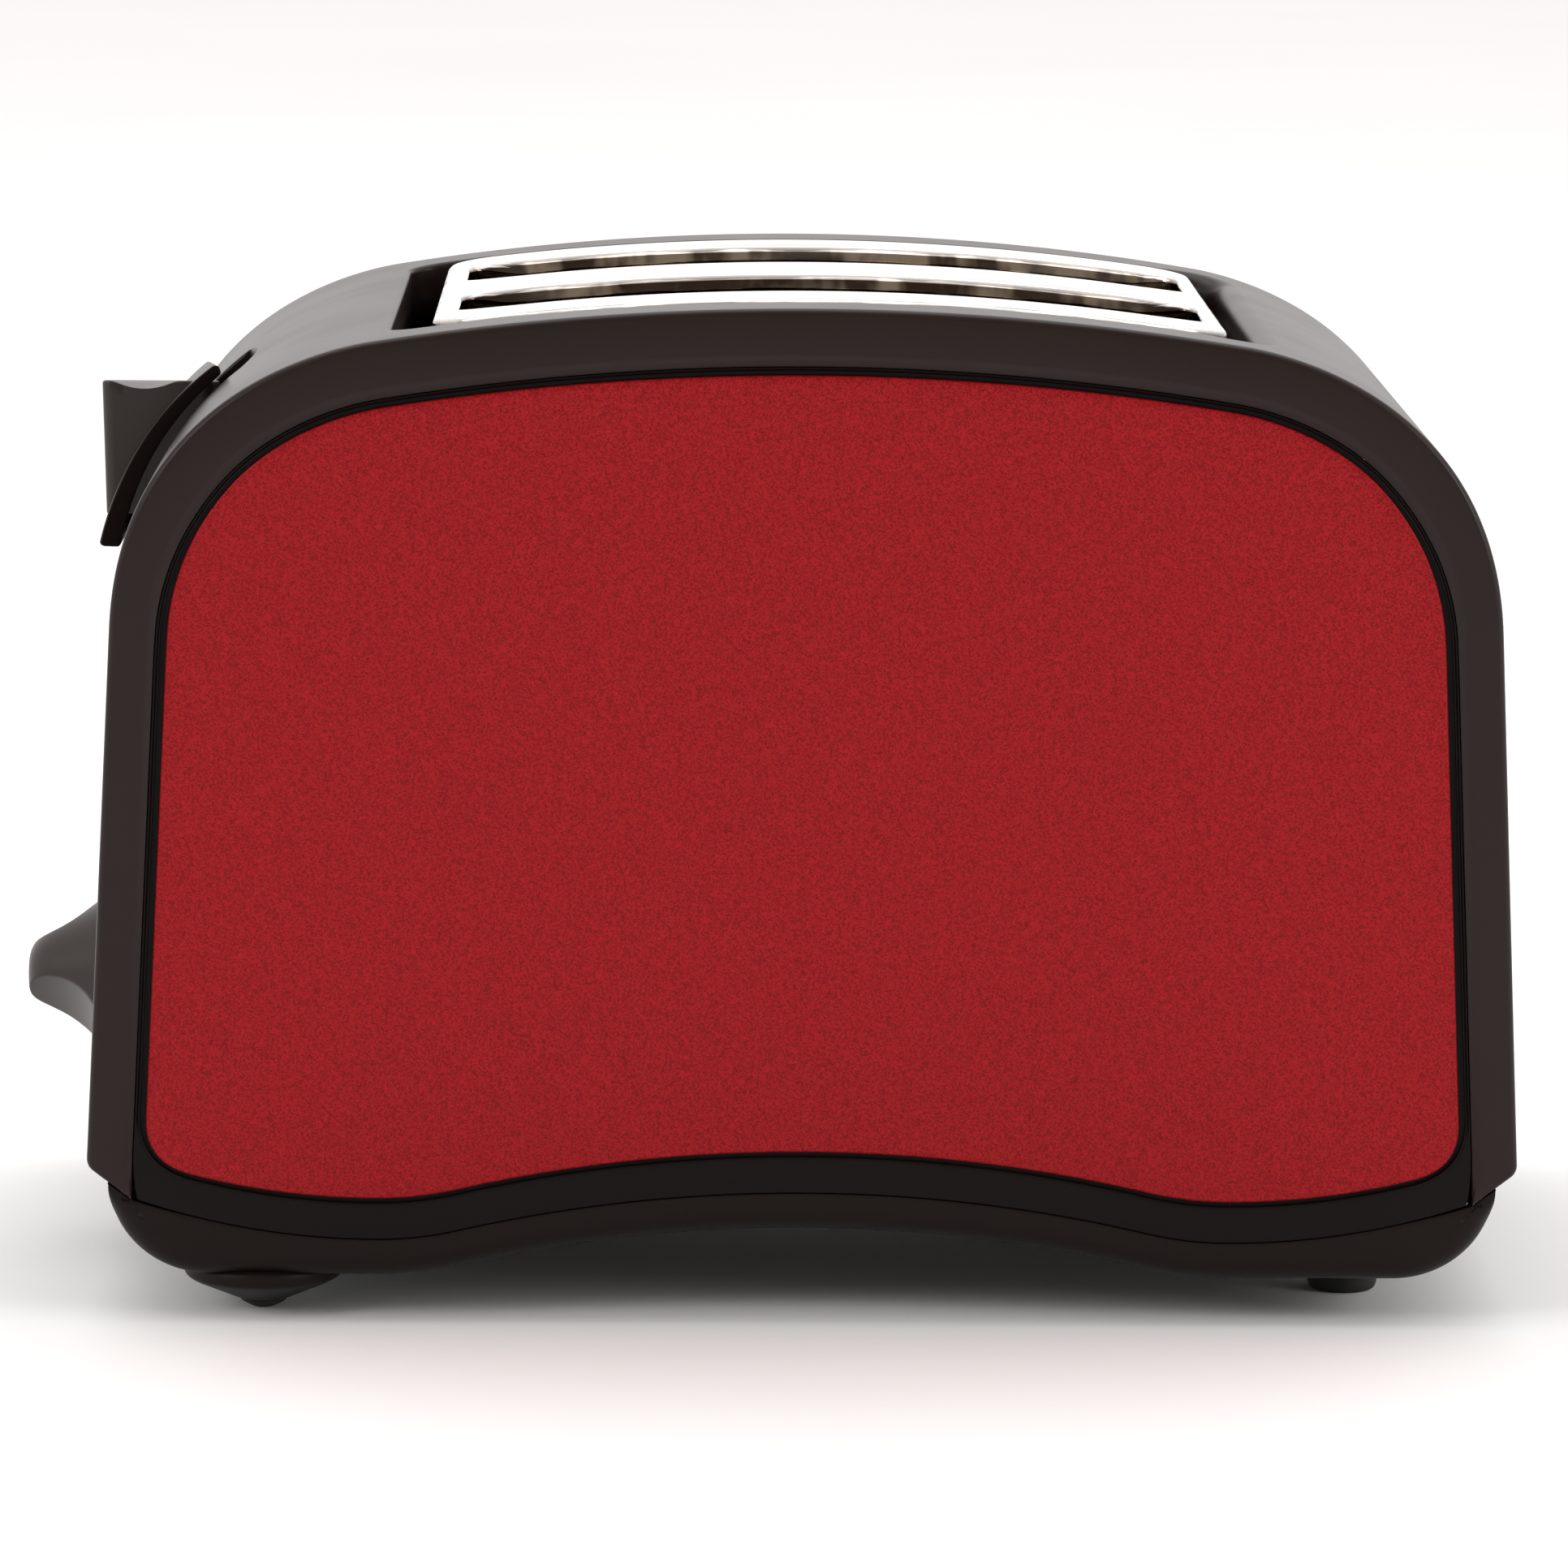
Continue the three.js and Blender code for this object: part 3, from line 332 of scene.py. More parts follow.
class Wire:
    """An output socket of a finish's network; an operator on it adds a Math node and returns its output."""

    def __init__(self, finish, socket):
        self.finish = finish
        self.socket = socket

    def _math(self, operation, *values):
        """A Math node on these values, each a number or a wire."""
        inputs = dict(enumerate(values))
        return self.finish.node("ShaderNodeMath", {"operation": operation}, inputs)

    def __add__(self, other):
        return self._math("ADD", self, other)

    def __rsub__(self, other):
        return self._math("SUBTRACT", other, self)

    def __mul__(self, other):
        return self._math("MULTIPLY", self, other)

    def __lt__(self, other):
        return self._math("LESS_THAN", self, other)

    def __gt__(self, other):
        return self._math("GREATER_THAN", self, other)

    __radd__ = __add__
    __rmul__ = __mul__

    def ramp(self, low, high):
        """This value mapped from low..high to 0..1 along a smooth S, and held outside."""
        settings = {"interpolation_type": "SMOOTHSTEP"}
        inputs = {"Value": self, "From Min": low, "From Max": high}
        return self.finish.node("ShaderNodeMapRange", settings, inputs)


class Network:
    """A node tree to which nodes are added one by one."""

    def __init__(self, tree):
        self.tree = tree

    def node(self, kind, settings, inputs, output=0):
        """Adds a node, sets its settings, then fills its sockets with numbers, colours or wires."""
        node = self.tree.nodes.new(kind)
        for name, value in settings.items():
            setattr(node, name, value)
        for name, value in inputs.items():
            if isinstance(value, Wire):
                self.tree.links.new(value.socket, node.inputs[name])
            else:
                node.inputs[name].default_value = value
        return Wire(self, node.outputs[output])

    def mix(self, factor, a, b):
        """Colour a where factor is 0 and colour b where it is 1."""
        return self.node("ShaderNodeMix", {"data_type": "RGBA"}, {0: factor, 6: a, 7: b}, 2)


class Finish(Network):
    """A material with one Principled shader; its textures all read Object coordinates."""

    def __init__(self, name, **constants):
        self.material = bpy.data.materials.new(name)
        self.material.use_nodes = True
        super().__init__(self.material.node_tree)
        self.shader = self.tree.nodes["Principled BSDF"]
        for socket, value in constants.items():
            self.shader.inputs[socket.replace("_", " ")].default_value = value
        self.place = self.node("ShaderNodeTexCoord", {}, {}, "Object")

    def scaled(self, x, y, z):
        """Object coordinates stretched by a factor along each axis."""
        return self.node("ShaderNodeMapping", {}, {"Vector": self.place, "Scale": (x, y, z)})

    def noise(self, size, detail=2.0, vector=None):
        """Noise whose blobs are about size metres across, from 0 to 1."""
        inputs = {"Vector": vector or self.place, "Scale": 1 / size, "Detail": detail}
        return self.node("ShaderNodeTexNoise", {}, inputs, "Fac")

    def cells(self, size, output, vector=None):
        """Voronoi cells about size metres across: their Distance or their random Color."""
        inputs = {"Vector": vector or self.place, "Scale": 1 / size}
        return self.node("ShaderNodeTexVoronoi", {}, inputs, output)

    def bump(self, height, depth):
        """Relief from a 0..1 height that stands depth metres high, onto the shader's Normal."""
        normal = self.node("ShaderNodeBump", {}, {"Height": height, "Distance": depth, "Strength": 1.0})
        self.feed("Normal", normal)

    def feed(self, socket, wire):
        """Connects a wire to the shader."""
        self.tree.links.new(wire.socket, self.shader.inputs[socket])


def grey(value, warmth=0.0):
    """A linear grey, with a little more red and less blue for warmth."""
    return (value * (1 + warmth), value, value * (1 - warmth), 1.0)


def tell(*finishes):
    """Prints the name of each finish and how many nodes it has."""
    for finish in finishes:
        print(f"{finish.name}: {len(finish.node_tree.nodes)} nodes")


print("a warm mid grey:", grey(0.5, 0.02))

# %% [markdown]
# ## Moulded plastic
#
# Toaster housings are moulded in a spark-eroded tool, which leaves a fine even grain, so the plastic looks
# satin and not glossy. It could be a flat dark colour with a roughness, but then a close view looks like
# vinyl. Three things make it plastic: the grain as relief, a slow change of gloss where hands have been, and
# the few specks of dust that dark plastic always holds.

# %% Charcoal plastic, base plastic and knob plastic


def moulded_plastic(name, colour, gloss, specular, dust=0.5):
    """Satin plastic: grain relief, a slow gloss change, faint flow marks and a few dust specks."""
    finish = Finish(name, Specular_IOR_Level=specular)
    flow = finish.noise(0.055, 3.0)
    specks = finish.cells(0.009, "Distance") < 0.022
    chosen = finish.noise(0.013, 0.0) > 0.62
    shade = finish.mix(flow, colour, tuple(1.3 * c for c in colour[:3]) + (1.0,))
    dusty = finish.mix(specks * chosen * dust, shade, grey(0.22, 0.05))
    finish.feed("Base Color", dusty)
    touched = finish.noise(0.03, 4.0).ramp(0.35, 0.7)
    finish.feed("Roughness", gloss + touched * 0.03 + specks * 0.2)
    grain = finish.noise(0.00042, 3.0)
    finish.bump(grain, 0.000011)
    return finish.material


charcoal = moulded_plastic("charcoal_plastic", (0.0145, 0.0085, 0.0072, 1), 0.31, 0.19)
cover_black = moulded_plastic("cover_plastic", (0.0055, 0.0034, 0.003, 1), 0.36, 0.1)
base_black = moulded_plastic("base_plastic", (0.008, 0.005, 0.004, 1), 0.42, 0.12)
knob_black = moulded_plastic("knob_plastic", (0.022, 0.0145, 0.0125, 1), 0.36, 0.34, dust=0.25)
tell(charcoal, cover_black, base_black, knob_black)

# %% [markdown]
# ## Metallic red paint
#
# The panels are steel sheet with a baked metallic paint. Its sparkle is aluminium flakes of a few tenths of a
# millimetre, each lying at its own angle. So each flake is a Voronoi cell, and its random colour is used
# twice: as a slightly lighter or darker red, and as a small tilt of the normal. A clear lacquer is the coat.

# %% Metallic red


def metallic_red():
    """Red paint with flakes: cell colour varies the red and tilts the surface, under a clear coat."""
    finish = Finish(
        "metallic_red", Metallic=0.3, Specular_IOR_Level=0.12, Coat_Weight=0.07, Coat_Roughness=0.14)
    flake = finish.cells(0.00024, "Color")
    parts = finish.node("ShaderNodeSeparateColor", {}, {"Color": flake}, "Red")
    cloud = finish.noise(0.0007, 2.0)
    sparkle = (parts * 0.8 + cloud * 0.2).ramp(0.05, 0.95)
    paint = finish.mix(sparkle, (0.18, 0.003, 0.005, 1), (0.38, 0.011, 0.015, 1))
    finish.feed("Base Color", paint)
    finish.feed("Roughness", 0.36 + parts * 0.16)
    finish.bump(parts, 0.00002)
    return finish.material


red_paint = metallic_red()
tell(red_paint)

# %% [markdown]
# ## Chrome, steel and wire
#
# The slot plate is stamped, polished and chromed. A stamped sheet is never quite flat, and that shows as
# reflections that wander. A very low, slow relief does it. Where the plate is drawn down, an attribute on its
# points marks the walls. The chrome there is coloured in patches of dark and light brown, a painted reflection
# of the slot's dark, warm inside. The cage is galvanised or bare steel that heat has tinted to straw and
# brown, so its colour wanders in slow blotches.

# %% Metals


def chrome():
    """Mirror chrome: slow waves of a stamped sheet, wiped smears, and a painted reflection as brown patches on
    the drawn walls.
    """
    finish = Finish("chrome_plate", Metallic=1.0)
    smear = finish.noise(0.006, 5.0, finish.scaled(0.25, 1, 1)).ramp(0.45, 0.8)
    drawn = finish.node("ShaderNodeAttribute", {"attribute_name": "drop"}, {}, "Fac")
    # Painted reflection: patches of dark and light brown on the drawn walls stand in for the slot's dark, warm
    # inside mirrored in the chrome.
    patch = finish.noise(0.011, 3.0, finish.scaled(1, 1, 0.5)).ramp(0.48, 0.62)
    wall = finish.mix(patch, (0.075, 0.05, 0.035, 1), (0.5, 0.41, 0.32, 1))
    chrome_with_painted_reflection = finish.mix(drawn, (0.80, 0.79, 0.775, 1), wall)
    finish.feed("Base Color", finish.mix(smear * 0.3, chrome_with_painted_reflection, (0.55, 0.52, 0.48, 1)))
    finish.feed("Roughness", 0.06 + smear * 0.06)
    waves = finish.noise(0.016, 2.0, finish.scaled(1, 1, 0.6))
    finish.bump(waves * (0.1 + drawn), 0.0012)
    return finish.material


def steel(name, colour, tint, gloss, grain=(1, 1, 14)):
    """Rolled steel: long grain, blotched tint from heat, and duller patches."""
    finish = Finish(name, Metallic=1.0)
    lines = finish.noise(0.004, 4.0, finish.scaled(*grain))
    blotch = finish.noise(0.035, 3.0).ramp(0.3, 0.75)
    worn = finish.mix(blotch, colour, tint)
    finish.feed("Base Color", finish.mix(lines * 0.35, worn, grey(0.12, 0.1)))
    finish.feed("Roughness", gloss + lines * 0.16)
    finish.bump(lines, 0.00001)
    return finish.material


chrome_plate = chrome()
sheet_steel = steel("sheet_steel", grey(0.52, 0.02), (0.38, 0.30, 0.2, 1), 0.26)
guard_wire = steel("guard_wire", grey(0.5, 0.02), (0.4, 0.33, 0.25, 1), 0.22, (14, 14, 1))
zinc_steel = steel("zinc_steel", (0.47, 0.48, 0.47, 1), (0.56, 0.52, 0.36, 1), 0.34)
ribbon_metal = steel("resistance_ribbon", (0.2, 0.18, 0.17, 1), (0.13, 0.1, 0.09, 1), 0.42, (14, 1, 1))
tell(chrome_plate, sheet_steel, guard_wire, zinc_steel, ribbon_metal)

# %% [markdown]
# ## The small finishes inside
#
# Through the slots one sees mica boards and, with the tray out, a little of the works. Mica is pressed
# flakes, the coil is a stack of enamelled turns, and the board is green lacquer over tracks.

# %% Mica, copper, circuit board, cream plastic and rubber


def mica():
    """Pressed mica: pearly overlapping flakes, browner in the seams between them."""
    finish = Finish("mica", Specular_IOR_Level=0.6)
    flakes = finish.cells(0.0045, "Distance", finish.scaled(1, 0.3, 1.6))
    smoke = finish.noise(0.03, 3.0).ramp(0.35, 0.75)
    sheet = finish.mix(flakes.ramp(0.1, 0.7), (0.42, 0.33, 0.2, 1), (0.27, 0.19, 0.1, 1))
    finish.feed("Base Color", finish.mix(smoke * 0.6, sheet, (0.12, 0.075, 0.04, 1)))
    finish.feed("Roughness", 0.38 + flakes * 0.3)
    finish.bump(flakes, 0.00005)
    return finish.material


def copper():
    """Enamelled copper wire in layers: a wave along Z for the turns, with painted shade darker between them.
    """
    finish = Finish("copper_wire", Metallic=0.85)
    settings = {"bands_direction": "Z", "wave_type": "BANDS"}
    turns_with_painted_shade = finish.node("ShaderNodeTexWave", settings, {"Vector": finish.place, "Scale": 900.0}, "Fac")
    # Painted shade: the darker bands between the turns stand in for the shade in the grooves between the
    # wires.
    finish.feed("Base Color", finish.mix(turns_with_painted_shade, (0.2, 0.06, 0.02, 1), (0.62, 0.25, 0.09, 1)))
    finish.feed("Roughness", 0.32 + finish.noise(0.004) * 0.12)
    finish.bump(turns_with_painted_shade, 0.0001)
    return finish.material


def circuit_board():
    """Green lacquer over tracks: cell borders read as tracks, with tinned pads in the cells' middles."""
    finish = Finish("circuit_board", Specular_IOR_Level=0.5)
    cells = finish.cells(0.006, "Distance")
    tracks = cells.ramp(0.32, 0.36) * (1 - cells.ramp(0.46, 0.5))
    pads = 1 - cells.ramp(0.07, 0.09)
    green = finish.mix(tracks, (0.012, 0.085, 0.03, 1), (0.03, 0.17, 0.06, 1))
    finish.feed("Base Color", finish.mix(pads, green, grey(0.55)))
    finish.feed("Metallic", pads * 0.9)
    finish.feed("Roughness", 0.34 + finish.noise(0.005) * 0.14)
    finish.bump(tracks + pads, 0.00004)
    return finish.material


def matt(name, colour, darker, gloss, grain_size):
    """Unpolished moulded stuff such as rubber or nylon: fine grain and a patchy colour."""
    finish = Finish(name, Specular_IOR_Level=0.35)
    patch = finish.noise(0.012, 4.0).ramp(0.3, 0.75)
    finish.feed("Base Color", finish.mix(patch, colour, darker))
    grain = finish.noise(grain_size, 3.0)
    finish.feed("Roughness", gloss + grain * 0.15)
    finish.bump(grain, 0.00002)
    return finish.material


mica_board = mica()
copper_wire = copper()
board_green = circuit_board()
cream_plastic = matt("cream_plastic", (0.62, 0.56, 0.42, 1), (0.5, 0.44, 0.31, 1), 0.4, 0.0006)
rubber = matt("rubber", grey(0.014, 0.04), grey(0.022, 0.05), 0.68, 0.0009)
tell(mica_board, copper_wire, board_green, cream_plastic, rubber)

# %% [markdown]
# ## The housing
#
# The housing is one moulding: a skin over the arch, rolled over at the front and the back into a flat frame
# that holds the cover. It has a rounded hole for the slot plate, an upright trough that the lever's shield
# runs down, and a small hole for the cancel button. The skin is a function of arc length and depth. Where
# there is a hole, the stations of the skin go round it as a loop, so nothing has to be cut. The thickness is
# a Solidify modifier on the inner side.

# %% Stations along the section and rows across the depth
TOP_HOLE = {"x0": -77.0, "x1": 83.0, "half": 65.0, "corner": 7.0}
TROUGH = {"floor": -104.7, "bow": 2.3, "half": 17.5, "z0": 88.0}
ARM_SLOT = {"half": 3.3, "z0": 89.5, "z1": 144.5}
cancel_low, cancel_high = box_mm("cancel_button")
CANCEL_Y, CANCEL_Z = ((cancel_low + cancel_high) / 2)[1:]
CANCEL_RADIUS = 4.6
FACE_CROWN = 0.35
EDGE_RADIUS = 1.4
CHAMFER = (1.25, 0.8)
BEZEL_BACK = 3.6
SKIN_HALF = HALF_DEPTH - FACE_CROWN - EDGE_RADIUS

knots = [
    (S_END, 4), (S_TURN + 2.4, 5), (S_TURN - 1, 12), (s_at_z(SHOULDER[1]), 44), (s_at_x(92), 90),
    (s_at_x(-85), 8), (s_at_x(-97), 90), (-s_at_z(82), 2), (-s_at_z(74), 24), (-s_at_z(50), 6),
    (1 - S_TURN, 5), (-S_TURN - 2.4, 4), (-S_END, 0),
]
starts = np.concatenate([[0], np.cumsum([count for _, count in knots])])
stations = np.concatenate(
    [np.linspace(a, b, count, endpoint=False) for (a, count), (b, _) in zip(knots, knots[1:])] + [[-S_END]])
rows_y = np.linspace(-SKIN_HALF, SKIN_HALF, 61)
print(f"the skin has {len(stations)} stations along the section and {len(rows_y)} rows across")


def skin(points):
    """The skin at (arc length, depth) pairs: X and Z from the section, Y as it is."""
    x, z = outline(points[..., 0])
    return np.stack([x, points[..., 1], z], -1)


def between(first, last):
    """Plain skin between two knots."""
    s, y = np.meshgrid(stations[starts[first]:starts[last] + 1], rows_y, indexing="ij")
    return skin(np.stack([s, y], -1))


def around(knot, hole, rings, ease):
    """Skin of one stretch with a hole: loops from the hole to the stretch's own edges."""
    s = stations[starts[knot]:starts[knot + 1] + 1]
    return skin(blend(hole, edge_loop(s, rows_y), rings, ease))


def hole_in(knot, s0, s1, y0, y1, radii):
    """A hole's loop with as many points as the stretch has on its edges."""
    return hole_loop(s0, s1, y0, y1, knots[knot][1], len(rows_y) - 1, radii)


# %% The rolled front frame


def bezel():
    """The frame's front, as profile rows carried along the section.

    A row has a share of the frame's width, an offset and a depth. It runs from the lip behind the cover's
    edge, round a small edge, over a slightly crowned face and round the outer edge. At the foot the
    frame's inner line leaves the section and runs straight to the foot's point.
    """
    x, z = outline(stations)
    width = inset_at(z, BEZEL_INSET)
    inner = np.stack(outline(np.clip(stations, 1 - S_TURN, S_TURN - 1), 0), 1)
    inner_x, inner_z = outline(np.clip(stations, 1 - S_TURN, S_TURN - 1), inset_at(inner[:, 1], BEZEL_INSET))
    along = np.clip((np.abs(stations) - S_TURN + 1) / (S_END - S_TURN + 1), 0, 1)
    side = np.where(stations < 0, -1.0, 1.0)
    inner_x = inner_x + along * (side * BEZEL_FOOT[0] - inner_x)
    inner_z = inner_z + along * (BEZEL_FOOT[1] - inner_z)
    face = np.linspace(0, 1, 9)[:-1]
    large = np.linspace(0, math.pi / 2, 8)
    share = np.concatenate([np.ones(6), 1 - face, np.zeros(8)])
    wide, deep = CHAMFER
    lip_offset = [0, 0, 0, -0.1, -0.5, 0.2 - wide]
    lip_depth = [BEZEL_BACK, deep + 0.2, deep, deep - 0.1, deep - 0.4, 0.12]
    offset = np.concatenate([
        lip_offset, -wide * (1 - face) + EDGE_RADIUS * face, EDGE_RADIUS * (1 - np.sin(large))])
    depth = np.concatenate([lip_depth, FACE_CROWN * face**2, FACE_CROWN + EDGE_RADIUS * (1 - np.cos(large))])
    part = (share[:, None] * width + offset[:, None]) / width
    px = x + part * (inner_x - x)
    pz = z + part * (inner_z - z)
    return np.stack([px, np.broadcast_to(depth[:, None] - HALF_DEPTH, px.shape), pz], -1)


front_frame = bezel()
print("front frame:", front_frame.shape[0], "rows of", front_frame.shape[1], "points")

# %% The rim of the slot plate's hole, soft at the end away from the lever


def top_rim():
    """Rim rows: a quarter round of varying radius, then a wall straight down; also the hole's outer loop."""
    knot = 4
    hole = hole_in(
        knot, s_at_x(TOP_HOLE["x1"]), s_at_x(TOP_HOLE["x0"]), -TOP_HOLE["half"], TOP_HOLE["half"],
        [TOP_HOLE["corner"]] * 4)
    radius = (1.1 + 3.6 * smoothstep(hole[:, 0], s_at_x(70), s_at_x(83)))[None, :, None]
    angle = np.linspace(0, math.pi / 2, 8)[:, None, None]
    normals = loop_normals(hole)
    rolled = skin(hole + radius * (1 - np.sin(angle)) * normals)
    rolled[..., 2] -= (radius * (1 - np.cos(angle)))[..., 0]
    wall = np.repeat(rolled[-1:], 3, 0)
    wall[..., 2] -= np.array([1.5, 5.0, 9.0])[:, None]
    outer = hole + radius[0] * normals
    return np.concatenate([rolled, wall]), outer


top_rows, top_loop = top_rim()
print("rim of the slot plate's hole:", top_rows.shape[0], "rows of", top_rows.shape[1], "points")

# %% The lever's trough and the cancel button's hole


def trough_floor_x(y):
    """The trough's floor: deepest in the middle, and bow less deep at its edges, as a parabola."""
    return TROUGH["floor"] - TROUGH["bow"] * (y / TROUGH["half"]) ** 2


def trough():
    """Rim, walls and floor of the trough, with the lever arm's slot; also the hole's outer loop."""
    knot = 6
    half = TROUGH["half"]
    loop = hole_in(knot, s_at_x(TROUGH["floor"]), -s_at_z(TROUGH["z0"]), -half, half, [0, 2.5, 2.5, 0])
    meets = -np.interp(-trough_floor_x(loop[:, 1]), fine_section[:WIDENING, 0], fine_s[:WIDENING])
    foot, head = loop[:, 0].min(), loop[:, 0].max()
    loop[:, 0] = foot + (loop[:, 0] - foot) * (meets - foot) / (head - foot)
    edge = skin(loop)
    deep = np.maximum(trough_floor_x(loop[:, 1]) - edge[:, 0], 0)
    radius = np.minimum(0.9, deep / 2)[None, :, None]
    angle = np.linspace(0, math.pi / 2, 6)[:, None, None]
    normals = loop_normals(loop)
    rolled = skin(loop + radius * (1 - np.sin(angle)) * normals)
    rolled[..., 0] += (radius * (1 - np.cos(angle)))[..., 0]
    walls = np.repeat(rolled[-1:], 6, 0)
    share = np.linspace(0, 1, 7)[1:, None]
    walls[..., 0] += share * (trough_floor_x(loop[:, 1]) - rolled[-1, :, 0])
    arm_half = ARM_SLOT["half"]
    slot = hole_in(knot, -s_at_z(ARM_SLOT["z1"]), -s_at_z(ARM_SLOT["z0"]), -arm_half, arm_half, [3.2] * 4)
    floor = blend(loop, slot, 10)
    _, floor_z = outline(floor[..., 0])
    floor = np.stack([trough_floor_x(floor[..., 1]), floor[..., 1], floor_z], -1)
    inside = np.repeat(floor[-1:], 2, 0)
    inside[..., 0] += np.array([0.5, 2.6])[:, None]
    return np.concatenate([rolled, walls, floor[1:], inside]), loop + radius[0] * normals


def round_rim(knot, y, z, radius):
    """A round hole with a small rounded rim and a straight wall; also its outer loop."""
    s = -s_at_z(z)
    loop = hole_in(knot, s + radius, s - radius, y - radius, y + radius, [radius] * 4)
    angle = np.linspace(0, math.pi / 2, 5)[:, None, None]
    rim = 0.6
    normals = loop_normals(loop)
    rolled = skin(loop + rim * (1 - np.sin(angle)) * normals)
    rolled[..., 0] += (rim * (1 - np.cos(angle)))[..., 0]
    wall = rolled[-1:] + np.array([2.4, 0, 0])
    return np.concatenate([rolled, wall]), loop + rim * normals


trough_rows, trough_loop = trough()
cancel_rows, cancel_loop = round_rim(8, CANCEL_Y, CANCEL_Z, CANCEL_RADIUS + 0.5)
print(f"trough: {trough_rows.shape[0]} rows; cancel hole: {cancel_rows.shape[0]} rows")

# %% Put the housing together
rear_frame = front_frame * [1, -1, 1]
add_piece(
    "housing",
    [
        (front_frame, False), (rear_frame, False),
        (between(0, 4), False), (around(4, top_loop, 9, 1.3), True), (top_rows, True),
        (between(5, 6), False), (around(6, trough_loop, 20, 1.6), True), (trough_rows, True),
        (between(7, 8), False), (around(8, cancel_loop, 12, 1.6), True), (cancel_rows, True),
        (between(9, 12), False),
    ],
    "housing", charcoal, ["housing_shell"], wall=1.9)

# %% [markdown]
# ## Covers and panels
#
# Front and back each have a plastic cover that fills the frame, and a painted panel glued into a recess of
# the cover. All their lines are the housing's line moved in, closed along the bottom by the wavy seam. So one
# function draws the loop for any inset, and a piece is a stack of such loops, with the edge's rounding as
# the steps of the stack.

# %% Loops that follow the face


def face_loop(inset, extra, rise, corner, top_count=110, corner_count=12, seam_count=56):
    """Closed loop: the section moved in, a rounded lower corner, and the seam raised by rise; both sides."""
    s = np.linspace(0, S_TURN - 1, 700)
    _, z = outline(s)
    x, z = outline(s, inset_at(z, inset) + extra)
    end_x = x[-1]
    start_z = float(seam_z(end_x)) + rise + corner
    keep = np.linspace(0, np.interp(-start_z, -z, s), top_count)
    side = np.stack([np.interp(keep, s, x), np.interp(keep, s, z)], 1)
    finish_x = end_x - corner
    finish = np.array([finish_x, float(seam_z(finish_x)) + rise])
    turn = bezier([side[-1], np.array([end_x, start_z - corner]), finish], corner_count)
    along = np.linspace(finish_x, 0, seam_count)
    seam = np.stack([along, seam_z(along) + rise], 1)
    half = np.concatenate([side, turn[1:], seam[1:]])
    return np.concatenate([half, half[-2:0:-1] * [-1, 1]])


def stack(loops, depths):
    """Loops in the face's plane, each at its own distance in from the housing's front."""
    return np.stack([
        np.stack([loop[:, 0], np.full(len(loop), depth - HALF_DEPTH), loop[:, 1]], 1)
        for loop, depth in zip(loops, depths)])


FACE_CENTRE = np.array([0.0, 104.0])
print("a loop that follows the face:", len(face_loop(BEZEL_INSET, 0, 0, 1.0)), "points")


def closing(loop, depth, rings=7):
    """Flat rows from a loop to the face's middle point, the first of them close to the loop."""
    share = np.concatenate([[0, 0.008], np.linspace(0.06, 1, rings)])
    return stack([loop + t * (FACE_CENTRE - loop) for t in share], np.full(len(share), depth))


# %% Front and rear cover
COVER_FACE = 0.8
COVER_BACK = 3.2
RECESS_FLOOR = 2.1
RECESS_CORNER = 9.5
GROOVE = 0.9
STRIP = 1.0
SEAM_LINE = 0.12


def cover_patches():
    """A cover: back, side, rounded outer edge, narrow face, rounded step down and the recess's floor."""
    round_off = 0.3
    angle = np.linspace(0, math.pi / 2, 6)
    loops = [face_loop(BEZEL_INSET, SEAM_LINE, 0, 1.0)]
    depths = [COVER_BACK]
    for a in angle:
        move = round_off * (1 - math.cos(a))
        loops.append(face_loop(BEZEL_INSET, SEAM_LINE + move, move, 1.0))
        depths.append(COVER_FACE + round_off * (1 - math.sin(a)))
    edge = 0.3
    for a in angle[::-1]:
        move = edge * (1 - math.sin(a))
        rise = PANEL_ABOVE_SEAM - GROOVE - edge + move
        loops.append(face_loop(BEZEL_INSET, STRIP - edge + move, rise, RECESS_CORNER))
        depths.append(COVER_FACE + edge * (1 - math.cos(a)))
    loops.append(face_loop(BEZEL_INSET, STRIP, PANEL_ABOVE_SEAM - GROOVE, RECESS_CORNER))
    depths.append(RECESS_FLOOR)
    rows = stack(loops, depths)
    back = closing(loops[0], COVER_BACK)
    return [(rows, True), (closing(loops[-1], RECESS_FLOOR), True), (back, True)]


def mirrored(patches):
    """The same patches behind the middle plane."""
    return [(points * [1, -1, 1], wrap) for points, wrap in patches]


cover = cover_patches()
add_piece("front_cover_visual", cover, "housing", cover_black, ["front_cover"])
add_piece("rear_cover_visual", mirrored(cover), "housing", cover_black, ["rear_cover"])

# %% Front and rear panel
PANEL_FACE = 1.0
PANEL_THICKNESS = 0.8


def panel_patches():
    """A panel: back, short side, pressed edge with a quarter round and a slow roll-off, and its flat face."""
    angle = np.linspace(0, math.pi / 2, 6)
    edge = 0.5
    loops = [face_loop(PANEL_INSET, 0, PANEL_ABOVE_SEAM, 8)]
    depths = [PANEL_FACE + PANEL_THICKNESS]
    for a in angle:
        move = edge * (1 - math.cos(a))
        loops.append(face_loop(PANEL_INSET, move, PANEL_ABOVE_SEAM + move, 8 - move))
        depths.append(PANEL_FACE + 0.06 + edge * (1 - math.sin(a)))
    for move, depth in ((1.0, 0.03), (1.6, 0.01), (2.4, 0.0)):
        loops.append(face_loop(PANEL_INSET, move, PANEL_ABOVE_SEAM + move, 8 - move))
        depths.append(PANEL_FACE + depth)
    rows = stack(loops, depths)
    return [(rows, True), (closing(loops[-1], PANEL_FACE), True),
            (closing(loops[0], PANEL_FACE + PANEL_THICKNESS), True)]


panel = panel_patches()
add_piece("front_panel_visual", panel, "housing", red_paint, ["front_panel"])
add_piece("rear_panel_visual", mirrored(panel), "housing", red_paint, ["rear_panel"])

